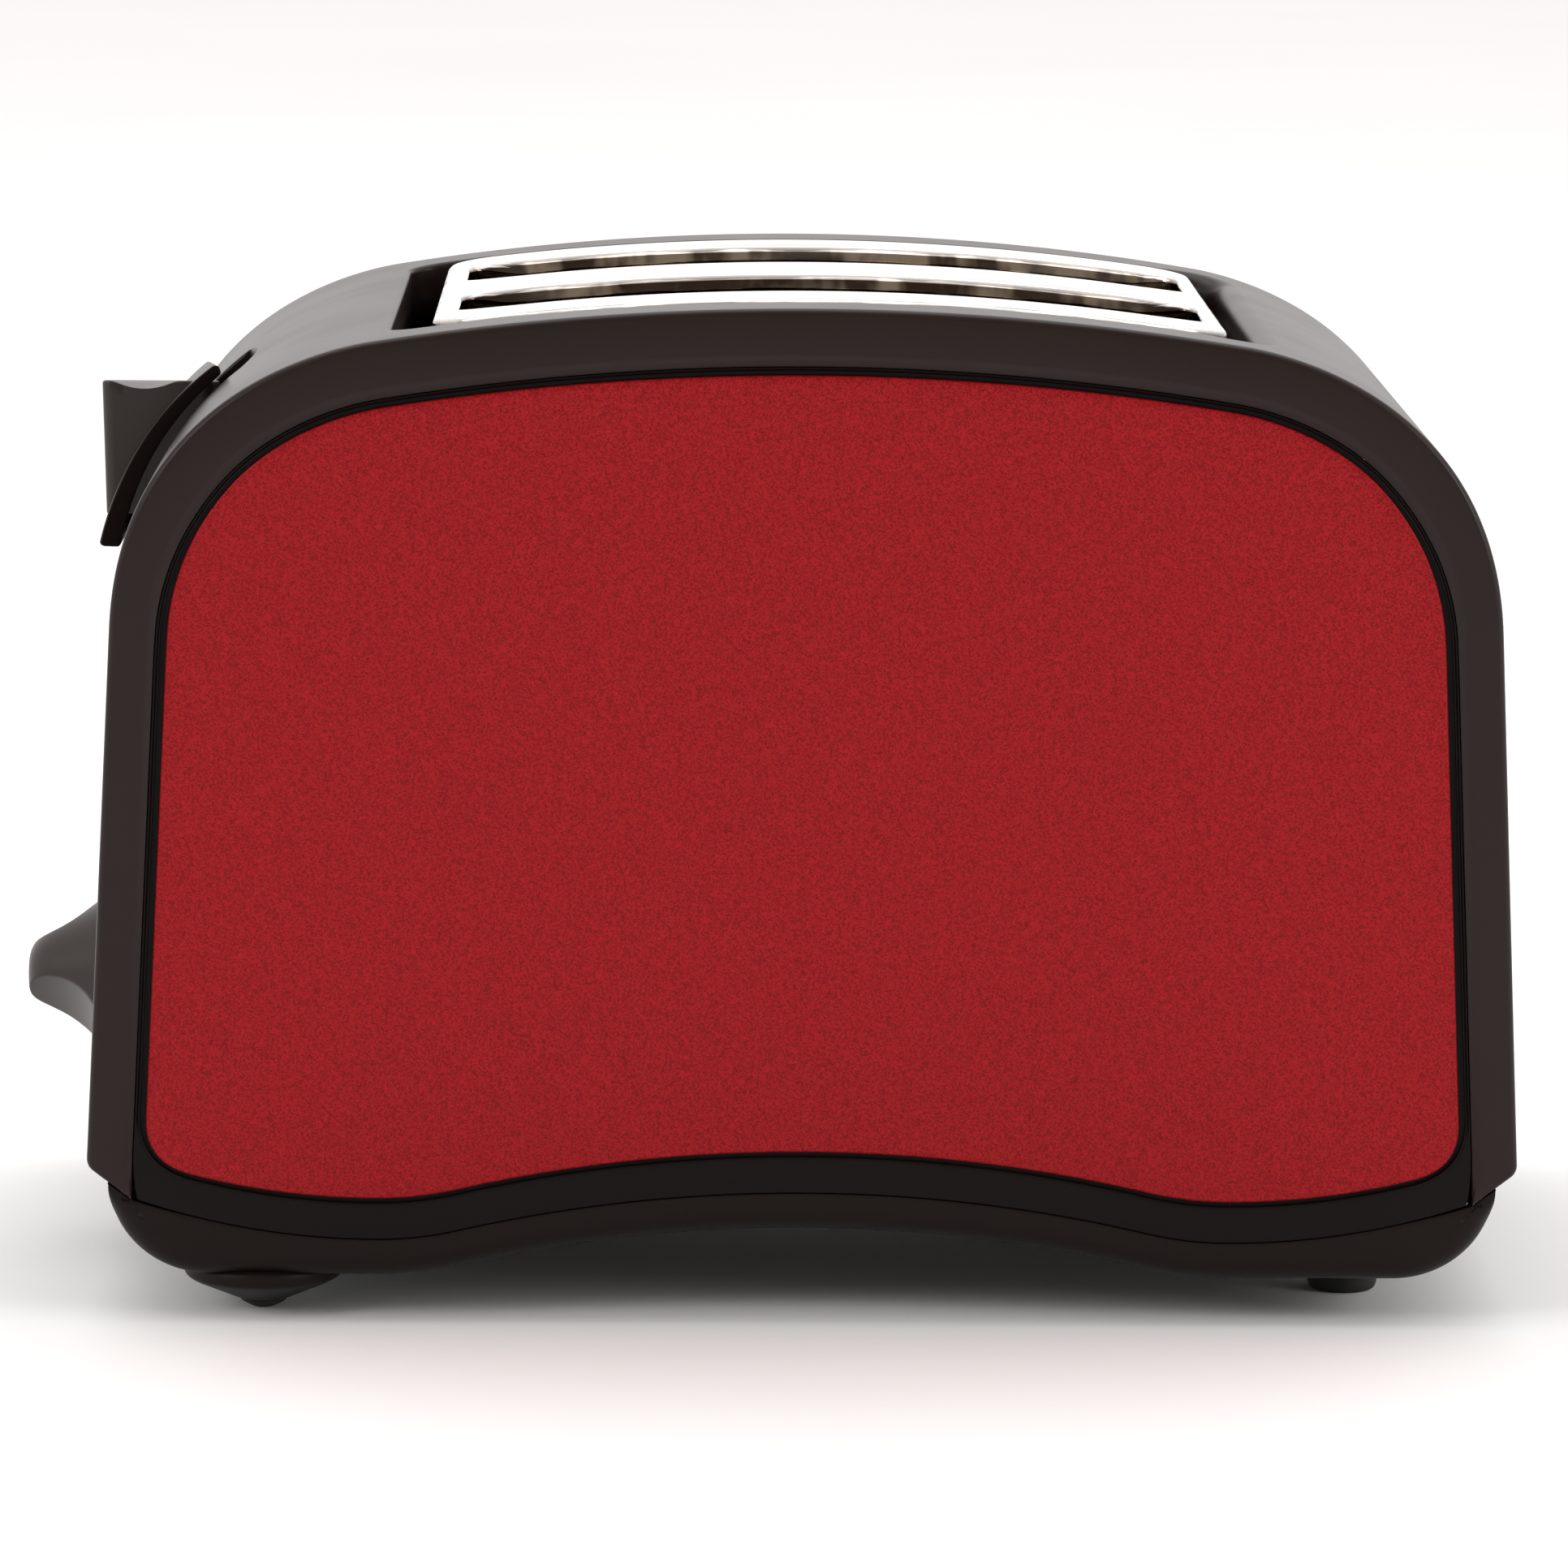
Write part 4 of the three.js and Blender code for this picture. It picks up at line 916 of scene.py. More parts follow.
# %% [markdown]
# ## The base
#
# The base is a tub. Its top edge follows the seam, its underside follows the same wave lower down, and its
# ends are quarter ellipses, so from the front it looks like a smile under the red panel. The front edge is
# softly rounded. It is drawn as one table, from the seam at the front, down the face, under the tub and up to
# the seam at the back. Its wall comes from Solidify, and thins towards the pointed ends, where an even wall
# would be thicker than the tub is high and come out through it. The vents and the tray's way out are cut with
# booleans, because they are plain straight cuts in a part that is seen only from below or from the end.

# %% The tub
BASE_BAND = 7.4
BASE_END = {"x": 110.0, "z": 25.9, "width": 18.6}
BASE_FACE = 0.8
BASE_EDGE = 4.2
WAVE_END = CROWN_HALF_WIDTH + 14.8
BASE_LEVEL = float(seam_z(WAVE_END)) - BASE_BAND


def base_under():
    """X and Z of the underside from the right end to the left: quarter ellipse, level, wave, and back."""
    angle = np.linspace(0, math.pi / 2, 26)
    end = np.stack([
        BASE_END["x"] + BASE_END["width"] * np.cos(angle),
        BASE_END["z"] - (BASE_END["z"] - BASE_LEVEL) * np.sin(angle)], 1)
    level = np.linspace(BASE_END["x"], WAVE_END, 12)[1:-1]
    wave = np.linspace(WAVE_END, 0, 44)
    flat = np.stack([level, np.full(len(level), BASE_LEVEL)], 1)
    half = np.concatenate([end, flat, np.stack([wave, seam_z(wave) - BASE_BAND], 1)])
    return np.concatenate([half, half[-2::-1] * [-1, 1]])


def inward(line):
    """Unit normals of an open line, to the left of its direction."""
    along = np.gradient(line, axis=0)
    along /= np.linalg.norm(along, axis=1, keepdims=True)
    return np.stack([along[:, 1], -along[:, 0]], 1)


def base_patches():
    """The tub's outer skin: face rows from the seam down, a quarter round, and the underside between."""
    under = base_under()
    into = inward(under)
    into *= np.where(into[len(into) // 2, 1] < 0, -1, 1)
    top_x = under[:, 0]
    beyond = np.maximum(np.abs(top_x) - BEZEL_FOOT[0], 0)
    within = np.minimum(np.abs(top_x), BEZEL_FOOT[0])
    settle = smoothstep(within, BASE_END["x"], BEZEL_FOOT[0]) * (seam_z(BEZEL_FOOT[0]) - BEZEL_FOOT[1])
    rise = (LOWER_CORNER[1] - BEZEL_FOOT[1]) / (LOWER_CORNER[0] - BEZEL_FOOT[0])
    top = np.stack([top_x, seam_z(within) + rise * beyond - SEAM_LINE - settle], 1)
    radius = BASE_EDGE * smoothstep(under[:, 1] * -1, -BASE_END["z"], -BASE_END["z"] + 7)[:, None] + 0.3
    lines, depths = [], []
    for back in (2.2, 0.25, 0.07, 0.0):
        lines.append(top - [0, 0.25 * (back == 0.0) + 0.07 * (back == 0.07)])
        depths.append(np.full(len(under), BASE_FACE + back))
    face_end = under + into * radius
    for share in np.linspace(0, 1, 8)[1:-1]:
        lines.append(lines[3] + share * (face_end - lines[3]))
        depths.append(np.full(len(under), BASE_FACE))
    for a in np.linspace(0, math.pi / 2, 9):
        lines.append(under + into * radius * (1 - math.sin(a)))
        depths.append(BASE_FACE + radius[:, 0] * (1 - math.cos(a)))
    front = np.stack([
        np.stack([line[:, 0], depth - HALF_DEPTH, line[:, 1]], 1) for line, depth in zip(lines, depths)])
    share = np.linspace(0, 1, 24)[:, None, None]
    across = front[-1] + share * (front[-1] * [1, -1, 1] - front[-1])
    return [(front, False), (across, False), (front * [1, -1, 1], False)]


def cutter(low, high):
    """A box to cut with, from two corners in millimetres; it is removed after use."""
    low, high = np.array(low, float), np.array(high, float)
    corners = low + (high - low) * np.array([[i, j, k] for i in (0, 1) for j in (0, 1) for k in (0, 1)])
    faces = [(0, 1, 3, 2), (4, 6, 7, 5), (0, 4, 5, 1), (2, 3, 7, 6), (0, 2, 6, 4), (1, 5, 7, 3)]
    mesh = bpy.data.meshes.new("cut")
    mesh.from_pydata((corners + [MIDDLE_X, 0, 0]) * MM, [], faces)
    piece = bpy.data.objects.new("cut", mesh)
    bpy.context.scene.collection.objects.link(piece)
    return piece


def turned(profile, x, y, sides=48):
    """Surface of revolution about an upright axis at x, y, from [radius, z] rows."""
    angle = np.linspace(0, 2 * math.pi, sides, endpoint=False)
    radius, height = np.array(profile, float).T
    return np.stack([
        x + radius[:, None] * np.cos(angle), y + radius[:, None] * np.sin(angle),
        np.broadcast_to(height[:, None], (len(profile), sides))], -1)


def smooth_profile(points, steps=6):
    """A profile with each inner corner replaced by a short quadratic curve between the edges' middles."""
    points = np.array(points, float)
    middle = (points[1:] + points[:-1]) / 2
    curves = [bezier([a, corner, b], steps)[:-1] for a, corner, b in zip(middle, points[1:-1], middle[1:])]
    return np.concatenate([points[:1], *curves, points[-1:]])


def cut_away(piece, cutters):
    """Subtracts the cutters from a piece for good, and removes them."""
    tool = cutters[0]
    for other in cutters[1:]:
        work = bmesh.new()
        work.from_mesh(tool.data)
        work.from_mesh(other.data)
        work.to_mesh(tool.data)
        work.free()
        bpy.data.objects.remove(other)
    cut = piece.modifiers.new("cut", "BOOLEAN")
    cut.operation = "DIFFERENCE"
    cut.solver = "EXACT"
    cut.use_self = True
    cut.object = tool
    done = bpy.data.meshes.new_from_object(piece.evaluated_get(bpy.context.evaluated_depsgraph_get()))
    piece.modifiers.clear()
    piece.data = done
    bpy.data.objects.remove(tool)
    done.polygons.foreach_set("use_smooth", np.ones(len(done.polygons), bool))
    done.set_sharp_from_angle(angle=SHARP_ANGLE)


base = add_piece(
    "base", base_patches(), "housing", base_black, ["base_pan"], wall=2.4)

# %% A thinner wall at the tub's ends
FULL_WALL_X = 112
THIN_WALL_X = 126.5
THIN_SHARE = 0.04
WALL_STEPS = 12
base_places = np.empty(3 * len(base.data.vertices))
base.data.vertices.foreach_get("co", base_places)
from_middle = np.abs(base_places.reshape(-1, 3)[:, 0] / MM - MIDDLE_X)
wall_group = base.vertex_groups.new(name="wall")
steps_full = np.rint(WALL_STEPS * smoothstep(-from_middle, -THIN_WALL_X, -FULL_WALL_X)).astype(int)
for step in range(WALL_STEPS + 1):
    wall_group.add(np.flatnonzero(steps_full == step).tolist(), step / WALL_STEPS, "REPLACE")
base.modifiers["wall"].vertex_group = wall_group.name
base.modifiers["wall"].thickness_vertex_group = THIN_SHARE
print(f"{np.mean(steps_full < WALL_STEPS):.0%} of the base's points have a thinner wall")

# %% Vents and the tray's way out
TRAY_WAY_OUT = ([114, -51, 16], [140, 51, 60])
VENT_X = range(-54, 55, 18)
VENT_Y = (-40, 10)
VENT_LENGTH = 30
VENT_HALF_WIDTH = 1.5
base_cuts = [cutter(*TRAY_WAY_OUT)]
for x in VENT_X:
    for y in VENT_Y:
        base_cuts.append(cutter([x - VENT_HALF_WIDTH, y, 3], [x + VENT_HALF_WIDTH, y + VENT_LENGTH, 28]))
cut_away(base, base_cuts)
print("base faces after cutting:", len(base.data.polygons))

# %% [markdown]
# ## Feet
#
# At the lever's end the base runs down into two cones with a rubber tip. At the other end are two short
# posts with a rubber pad. All of them are turned shapes: a profile that spins about an upright axis. A
# profile's corners are softened by little curves, so the light runs round them.

# %% Bosses and rubber feet
tip_low, tip_high = box_mm("foot_front_left")
pad_low, pad_high = box_mm("foot_front_right")
TIP_X = (tip_low[0] + tip_high[0]) / 2
TIP_Y = -(tip_low[1] + tip_high[1]) / 2
PAD_X = (pad_low[0] + pad_high[0]) / 2
PAD_Y = -(pad_low[1] + pad_high[1]) / 2
cone = smooth_profile([
    [0, 1.4], [3.6, 1.4], [4.7, 1.8], [9.4, 3.9], [14.0, 5.9], [15.0, 7.0], [15.0, 9.9], [0, 10]])
post = smooth_profile([[0, 5.4], [7.9, 5.4], [8.7, 5.6], [11.0, 6.4], [11.6, 7.4], [12, 9.9], [0, 10]])
tip = smooth_profile([[0, 0.0], [1.7, 0.0], [2.5, 0.35], [4.3, 1.25], [4.35, 1.65], [4.1, 2.0], [0, 2.1]])
pad = smooth_profile([
    [0, 0.0], [4.6, 0.0], [6.1, 0.1], [6.6, 1.4], [6.6, 2.5], [6.6, 5.2], [6.4, 5.6], [0, 5.8]])
bosses = []
for side in (-1, 1):
    bosses += [(turned(cone, TIP_X, side * TIP_Y), True), (turned(post, PAD_X, side * PAD_Y), True)]
add_piece("foot_bosses", bosses, "housing", base_black)
for where, side in (("front", -1), ("rear", 1)):
    add_piece(f"rubber_tip_{where}", [(turned(tip, TIP_X, side * TIP_Y), True)], "housing", rubber,
              [f"foot_{where}_left"])
    add_piece(f"rubber_pad_{where}", [(turned(pad, PAD_X, side * PAD_Y), True)], "housing", rubber,
              [f"foot_{where}_right"])

# %% [markdown]
# ## The chrome slot plate
#
# The plate is a thin stamping, arched like the housing and floating in its hole with a dark gap all round.
# Its outer edge and both slots are rolled down, and the roll is wider along the slots' long sides. It is drawn
# as two halves, one for each slot: loops run from the slot to the half's own edge, and the rolled edges are
# quarter rounds carried along the loops.

# %% Slot plate
PLATE = {"x0": -69.5, "x1": 78.0, "half": 60.0, "rise": 0.5, "corner": 9.0, "roll": 1.6, "skirt": 6.0}
SLOT = {"x0": -65.0, "x1": 74.6, "near": 12.5, "far": 46.5, "corner": 4.0, "roll": 1.3, "side_roll": 3.0,
        "widens_over": 12}


def on_plate(points, drop=0.0):
    """Plan points lifted to the plate's arch, less drop."""
    return np.concatenate([points, (arch_z(points[..., :1], PLATE["rise"]) - drop)], -1)


def half_plate():
    """Top, slot roll and outer roll of the front half, as loops between the slot and the half's edge."""
    along, across = 72, 36
    roll, skirt = PLATE["roll"], PLATE["skirt"]
    outer = hole_loop(PLATE["x0"], PLATE["x1"], -PLATE["half"], 0, along, across,
                      [PLATE["corner"], PLATE["corner"], 0, 0])
    inset = hole_loop(PLATE["x0"] + roll, PLATE["x1"] - roll, -PLATE["half"] + roll, 0, along, across,
                      [PLATE["corner"] - roll, PLATE["corner"] - roll, 0, 0])
    slot = hole_loop(SLOT["x0"], SLOT["x1"], -SLOT["far"], -SLOT["near"], along, across, [SLOT["corner"]] * 4)
    from_left = smoothstep(slot[:, 0], SLOT["x0"], SLOT["x0"] + SLOT["widens_over"])
    from_right = smoothstep(-slot[:, 0], -SLOT["x1"], SLOT["widens_over"] - SLOT["x1"])
    long_side = from_left * from_right
    slot_radius = (SLOT["roll"] + (SLOT["side_roll"] - SLOT["roll"]) * long_side)[:, None]
    lip = slot + slot_radius * loop_normals(slot)
    top = on_plate(blend(lip, inset, 6))
    angle = np.linspace(0, math.pi / 2, 9)[:, None, None]
    slot_roll = on_plate(slot + (lip - slot) * (1 - np.sin(angle)), slot_radius * (1 - np.cos(angle)))
    slot_skirt = on_plate(np.stack([slot, slot]), np.stack([slot_radius, np.full_like(slot_radius, skirt)]))
    first = 2 * along + across
    order = np.concatenate([np.arange(first, len(outer)), np.arange(0, along + across + 1)])
    rim, shelf = outer[order], inset[order]
    edge_roll = on_plate(rim + (shelf - rim) * (1 - np.sin(angle)), roll * (1 - np.cos(angle)))
    edge_skirt = on_plate(np.stack([rim, rim]), np.array([roll, skirt])[:, None, None])
    return [(top, True), (slot_roll, True), (slot_skirt, True), (edge_roll, False), (edge_skirt, False)]


plate_half = half_plate()
plate = add_piece(
    "chrome_slot_plate", plate_half + mirrored(plate_half), "housing", chrome_plate,
    ["slot_plate"], wall=0.9)
places = np.empty(3 * len(plate.data.vertices))
plate.data.vertices.foreach_get("co", places)
places = places.reshape(-1, 3) / MM - [MIDDLE_X, 0, 0]
drop = smoothstep(arch_z(places[:, 0], PLATE["rise"]) - places[:, 2], 0.35, 1.3)
plate.data.attributes.new("drop", "FLOAT", "POINT").data.foreach_set("value", drop)
print(f"{np.mean(drop > 0.5):.0%} of the plate's points lie on its drawn walls")

# %% [markdown]
# ## Bread guards
#
# Four wire guards lean in and hold the slice upright. Each is a few straight wires welded to a rod that turns
# in the end plates. A tube is a circle carried along a straight line, with its ends drawn in to a dome.

# %% Wires


def tube(start, end, radius, sides=10):
    """A round bar with domed ends: a circle at stations along the line, its radius falling at the ends."""
    start, end = np.array(start, float), np.array(end, float)
    axis = (end - start) / np.linalg.norm(end - start)
    side = np.cross(axis, [0.0, 1.0, 0.0] if abs(axis[1]) < 0.9 else [1.0, 0.0, 0.0])
    side /= np.linalg.norm(side)
    other = np.cross(axis, side)
    dome = np.linspace(0, math.pi / 2, 4)
    drawn_in = radius * (1 - np.cos(dome))
    distance = np.concatenate([drawn_in, np.linalg.norm(end - start) - drawn_in[::-1]])
    size = radius * np.concatenate([np.sin(dome), np.sin(dome[::-1])])
    angle = np.linspace(0, 2 * math.pi, sides, endpoint=False)
    circle = np.cos(angle)[:, None] * side + np.sin(angle)[:, None] * other
    return start + distance[:, None, None] * axis + size[:, None, None] * circle


GUARDS = {
    "guard_front_outer": "front_outer_guard", "guard_front_inner": "front_inner_guard",
    "guard_rear_inner": "rear_inner_guard", "guard_rear_outer": "rear_outer_guard",
}
GUARD_FIRST_X = -60.0
GUARD_PITCH = 22.0
GUARD_COUNT = 7
WIRE = 0.8
for node, body in GUARDS.items():
    low, high = box_mm(node)
    y = (low[1] + high[1]) / 2
    bottom, top = low[2] + WIRE, high[2] - WIRE
    last_x = GUARD_FIRST_X + GUARD_PITCH * (GUARD_COUNT - 1)
    bars = [
        (tube([low[0], y, bottom], [high[0], y, bottom], WIRE), True),
        (tube([GUARD_FIRST_X - 3, y, top], [last_x + 3, y, top], WIRE), True),
    ]
    for i in range(GUARD_COUNT):
        x = GUARD_FIRST_X + i * GUARD_PITCH
        bars.append((tube([x, y, bottom - 0.4], [x, y, top + 0.4], 0.9 * WIRE), True))
    add_piece(f"wires_{node[6:]}", bars, body, guard_wire, [node])

# %% [markdown]
# ## The lever
#
# The lever is one moulding of two shapes. A curved shield lies over the trough and hides the slot behind it,
# and a block stands out from the shield for the thumb, with a scoop on top. The shield is a rounded flat
# section carried up a curve, narrowing round its top corners. The block is a rounded plan carried
# upwards, closed by a top that dips as part of a cylinder.

# %% Shield
SHIELD = {"half": 16.0, "bottom": [-132.3, 136.8], "bend": [-127.6, 158.6], "top": [-110.9, 171.4],
          "thick_low": 3.9, "thick_high": 2.4, "corner": 2.4, "fall": 0.1, "taper": 0.2}


def rounded_section(half_width, half_thick, radius, count=12):
    """Closed rounded rectangle about the origin, one quarter arc of count points to a corner."""
    angle = np.linspace(0, math.pi / 2, count)
    corners = []
    for quarter, (sign_a, sign_b) in enumerate([(1, 1), (-1, 1), (-1, -1), (1, -1)]):
        turn = angle + quarter * math.pi / 2
        corners.append(np.stack([
            sign_a * (half_width - radius)[:, None] + radius[:, None] * np.cos(turn),
            sign_b * (half_thick - radius)[:, None] + radius[:, None] * np.sin(turn)], -1))
    return np.concatenate(corners, 1)


def even_loop(loop, count):
    """The closed loop's points again, count of them at equal distances along it."""
    closed = np.concatenate([loop, loop[:1]])
    distance = np.concatenate([[0], np.cumsum(np.linalg.norm(np.diff(closed, axis=0), axis=1))])
    even = np.linspace(0, distance[-1], count, endpoint=False)
    return np.stack([np.interp(even, distance, closed[:, i]) for i in (0, 1)], 1)


def shield_patches():
    """The shield: a rounded flat section carried along a quadratic curve, with rounded top corners."""
    close_to_bottom, close_to_top = [0, 0.004, 0.014, 0.03], 1 - np.geomspace(0.07, 0.0005, 8)
    share = np.concatenate([close_to_bottom, np.linspace(0.06, 0.92, 48), close_to_top])
    spine = np.array([SHIELD["bottom"], SHIELD["bend"], SHIELD["top"]], float)

    def along_spine(t):
        """X and Z on the quadratic curve, at shares t of the way."""
        return (1 - t) ** 2 * spine[0] + 2 * t * (1 - t) * spine[1] + t * t * spine[2]

    line = along_spine(share[:, None])
    length = np.concatenate([[0], np.cumsum(np.linalg.norm(np.diff(line, axis=0), axis=1))])
    from_top = length[-1] - length
    corner = SHIELD["corner"]
    missing = corner - np.sqrt(np.maximum(corner**2 - np.maximum(corner - from_top, 0) ** 2, 0))
    bottom_pinch = 0.8 * (1 - np.sqrt(np.maximum(1 - np.maximum(1 - length / 0.8, 0) ** 2, 0)))
    half = SHIELD["half"] - missing - bottom_pinch
    thick = SHIELD["thick_low"] + share * (SHIELD["thick_high"] - SHIELD["thick_low"])
    top_pinch = np.sqrt(np.maximum(1 - np.maximum(1 - from_top, 0) ** 2, 0))
    half_thick = np.maximum(thick / 2 * top_pinch - bottom_pinch, 0.05)
    section = rounded_section(half, half_thick, np.minimum(0.6, half_thick * 0.95))
    inner = np.clip(0.45 - 0.5 * section[..., 1] / half_thick[:, None], 0, 1)
    width = section[..., 0] * (1 - SHIELD["taper"] * inner)
    to_rear = (width / SHIELD["half"] + 1) / 2
    t = (share[:, None] * (1 - SHIELD["fall"] * to_rear * share[:, None] ** 3))[..., None]
    place = along_spine(t)
    along = 2 * (1 - t) * (spine[1] - spine[0]) + 2 * t * (spine[2] - spine[1])
    along /= np.linalg.norm(along, axis=-1, keepdims=True)
    x = place[..., 0] - along[..., 1] * section[..., 1]
    z = place[..., 1] + along[..., 0] * section[..., 1]
    rows = np.stack([x, width, z], -1)
    return [(rows, True), (fan(rows[0]), True), (fan(rows[-1]), True)]


shield = shield_patches()
print("shield:", shield[0][0].shape[0], "rows of", shield[0][0].shape[1], "points")

# %% Thumb block and stem
BLOCK = {"x": -133.7, "inner": -112.5, "half": 12.5, "top": 168.6, "bottom": 143.0, "scoop": 12.0,
         "scoop_x": -125.6, "scoop_lift": 10.4, "fall": 0.105, "lean": 0.7, "edge": 0.6,
         "slant_from": 157, "slant_over": 12, "slant": 14.0}


def block_patches():
    """The thumb block: rings of a rounded plan rising to the top edge, then drawn in over the scooped top."""
    plan_half = BLOCK["half"]
    middle_x = (BLOCK["x"] + BLOCK["inner"]) / 2
    half_x = (BLOCK["inner"] - BLOCK["x"]) / 2
    plan = rounded_section(np.array([half_x]), np.array([plan_half]), np.array([1.8]))[0] + [middle_x, 0]
    plan = even_loop(plan, 200)
    centre = np.array([middle_x, 0.0])
    rings = []
    edge = BLOCK["edge"]
    for z in np.linspace(BLOCK["bottom"], BLOCK["top"] - edge, 12):
        slant = np.clip((BLOCK["slant_from"] - z) / BLOCK["slant_over"], 0, 1) * BLOCK["slant"]
        ring = plan.copy()
        ring[:, 0] = np.minimum(ring[:, 0], BLOCK["inner"] - slant)
        rings.append(np.column_stack([ring, np.full(len(ring), z)]))
    for a in np.linspace(0, math.pi / 2, 6)[1:]:
        move = edge * (1 - math.cos(a))
        ring = centre + (plan - centre) * (1 - move / np.array([half_x, plan_half]))
        rings.append(np.column_stack([ring, np.full(len(ring), BLOCK["top"] - edge * (1 - math.sin(a)))]))
    last = rings[-1][:, :2]
    for share in np.linspace(0, 1, 13)[1:]:
        ring = last + share * (centre - last)
        rings.append(np.column_stack([ring, np.full(len(ring), BLOCK["top"])]))
    rows = np.stack(rings)
    rising = (rows[..., 2] - BLOCK["bottom"]) / (BLOCK["top"] - BLOCK["bottom"])
    rows[..., 0] += BLOCK["lean"] * (1 - rising) * (rows[..., 0] < BLOCK["scoop_x"])
    rows[..., 2] -= BLOCK["fall"] * (rows[..., 1] + plan_half) * rising**2
    away = np.clip(1 - ((rows[..., 0] - BLOCK["scoop_x"]) / BLOCK["scoop"]) ** 2, 0, None)
    dip = BLOCK["top"] + BLOCK["scoop_lift"] - BLOCK["scoop"] * np.sqrt(away)
    soft = 0.25
    over = np.logaddexp(0, (rows[..., 2] - dip) / soft) * soft
    rows[..., 2] -= over
    return [(rows, True), (fan(rows[0]), True)]


STEM_Z = 139.5
arm_low, _ = box_mm("carriage_bracket")
stem = tube([-130.5, 0, STEM_Z], [arm_low[0] - 0.4, 0, STEM_Z], 3.6, 20)
add_piece("lever_knob_visual", shield + block_patches() + [(stem, True)], "carriage", knob_black,
          ["lever_knob"])

# %% [markdown]
# ## The browning dial
#
# The dial is a cone with a rounded nose, and a hollow swept out of each side leaves a bar to grip. It is a
# surface in two parameters, the angle round the axis and the distance along the profile. The hollows only
# limit the radius: at each point it is the smaller of the cone's radius and the distance to the hollow's
# wall, joined by a soft minimum so that the edge between them is rounded. A boolean would leave that edge
# sharp.

# %% Dial
dial_low, dial_high = box_mm("browning_knob")
DIAL_Z = (dial_low[2] + dial_high[2]) / 2
DIAL_BACK, DIAL_TIP = dial_high[0], dial_low[0]
DIAL_TURN = math.radians(-35)
GRIP_HALF = 3.6
UPPER_EXTRA = 1.6
HOLLOW = 15.0


def dial_patches():
    """Radius = soft minimum of the cone's profile and the hollow's limit over the sine of the bar's angle."""
    length = DIAL_BACK - DIAL_TIP
    profile = smooth_profile([
        [0, 0.0], [14.6, 0.0], [15.4, 0.25], [15.5, 0.9], [15.1, 1.6], [14.3, 2.6], [10.9, length - 8.1],
        [8.7, length - 4.1], [6.6, length - 1.5], [4.2, length - 0.2], [2.0, length], [0, length]], 7)
    keep = np.concatenate([[0], np.cumsum(np.linalg.norm(np.diff(profile, axis=0), axis=1))])
    even = np.linspace(0, keep[-1], 110)
    cone_radius = np.interp(even, keep, profile[:, 0])[:, None]
    x = DIAL_BACK - np.interp(even, keep, profile[:, 1])[:, None]
    angle = np.linspace(0, 2 * math.pi, 240, endpoint=False)[None]
    across = np.sin(angle - DIAL_TURN)
    reach = np.clip(HOLLOW**2 - (x - DIAL_TIP - 0.5) ** 2, 0, None)
    grip = np.where(across > 0, GRIP_HALF + UPPER_EXTRA, GRIP_HALF)
    limit = (grip + HOLLOW - np.sqrt(reach)) / (np.abs(across) + 1e-3)
    limit = np.where(reach > 0, limit, 99.0)
    soft = 0.22
    radius = cone_radius - soft * np.logaddexp(0, (cone_radius - limit) / soft)
    radius = np.clip(radius, 0, cone_radius)
    rows = np.stack([
        np.broadcast_to(x, radius.shape), radius * np.cos(angle), DIAL_Z + radius * np.sin(angle)], -1)
    return [(rows, True)]


add_piece("browning_dial_visual", dial_patches(), "browning_dial", knob_black,
          ["browning_knob"])

# %% [markdown]
# ## The cancel button
#
# A small round button with a dished face, in the hole beside the dial. A flat disc would look printed on, so
# its face is dished and its edge rounded: a profile, turned about X.

# %% Cancel button


def turned_x(profile, y, z, sides=48):
    """Surface of revolution about an axis along X at y, z, from [radius, x] rows."""
    upright = turned(profile, 0, 0, sides)
    return np.stack([upright[..., 2], y + upright[..., 0], z + upright[..., 1]], -1)


face_x = cancel_low[0]
button = smooth_profile([
    [0, face_x + 0.5], [1.8, face_x + 0.35], [3.4, face_x], [4.1, face_x], [4.55, face_x + 0.2],
    [4.6, face_x + 0.8], [4.6, face_x + 4], [4.6, face_x + 6.2], [0, face_x + 6.4]])
add_piece("cancel_button_visual", [(turned_x(button, CANCEL_Y, CANCEL_Z), True)], "cancel", knob_black,
          ["cancel_button"])

# %% [markdown]
# ## The crumb tray
#
# A shallow pressed tray slides out of the base's end. Its front piece carries on the base's own curve, so it
# almost disappears when it is shut, and a shallow hollow in its middle is there for the fingers.

# %% Crumb tray
TRAY = {"x0": -68.0, "x1": 123.0, "half": 50.0, "z0": 21.0, "z1": 23.4, "corner": 3, "foot": 1.2}
TRAY_FACE = {"half": 50.6, "z0": 16.4, "z1": 25.2, "back": 121.5}
FINGER_HOLLOW = {"half": 24, "edge": 6, "z0": 17.4, "height": 6.4, "depth": 1.1}


def tray_pan():
    """A shallow pan: its rim loop, a straight wall, a rounded foot and a floor closed in the middle."""
    def loop(inset):
        """The pan's rounded plan, moved in by inset."""
        half = TRAY["half"] - inset
        corners = [max(TRAY["corner"] - inset, 0.5)] * 4
        return hole_loop(TRAY["x0"] + inset, TRAY["x1"] - inset, -half, half, 40, 24, corners)

    angle = np.linspace(0, math.pi / 2, 5)
    loops = [loop(0)] + [loop(TRAY["foot"] * (1 - math.cos(a))) for a in angle] + [loop(8), loop(25)]
    heights = [TRAY["z1"], *(TRAY["z0"] + TRAY["foot"] * (1 - np.sin(angle))), TRAY["z0"], TRAY["z0"]]
    rows = np.stack([np.column_stack([ring, np.full(len(ring), z)]) for ring, z in zip(loops, heights)])
    return [(rows, True), (fan(rows[-1]), True)]


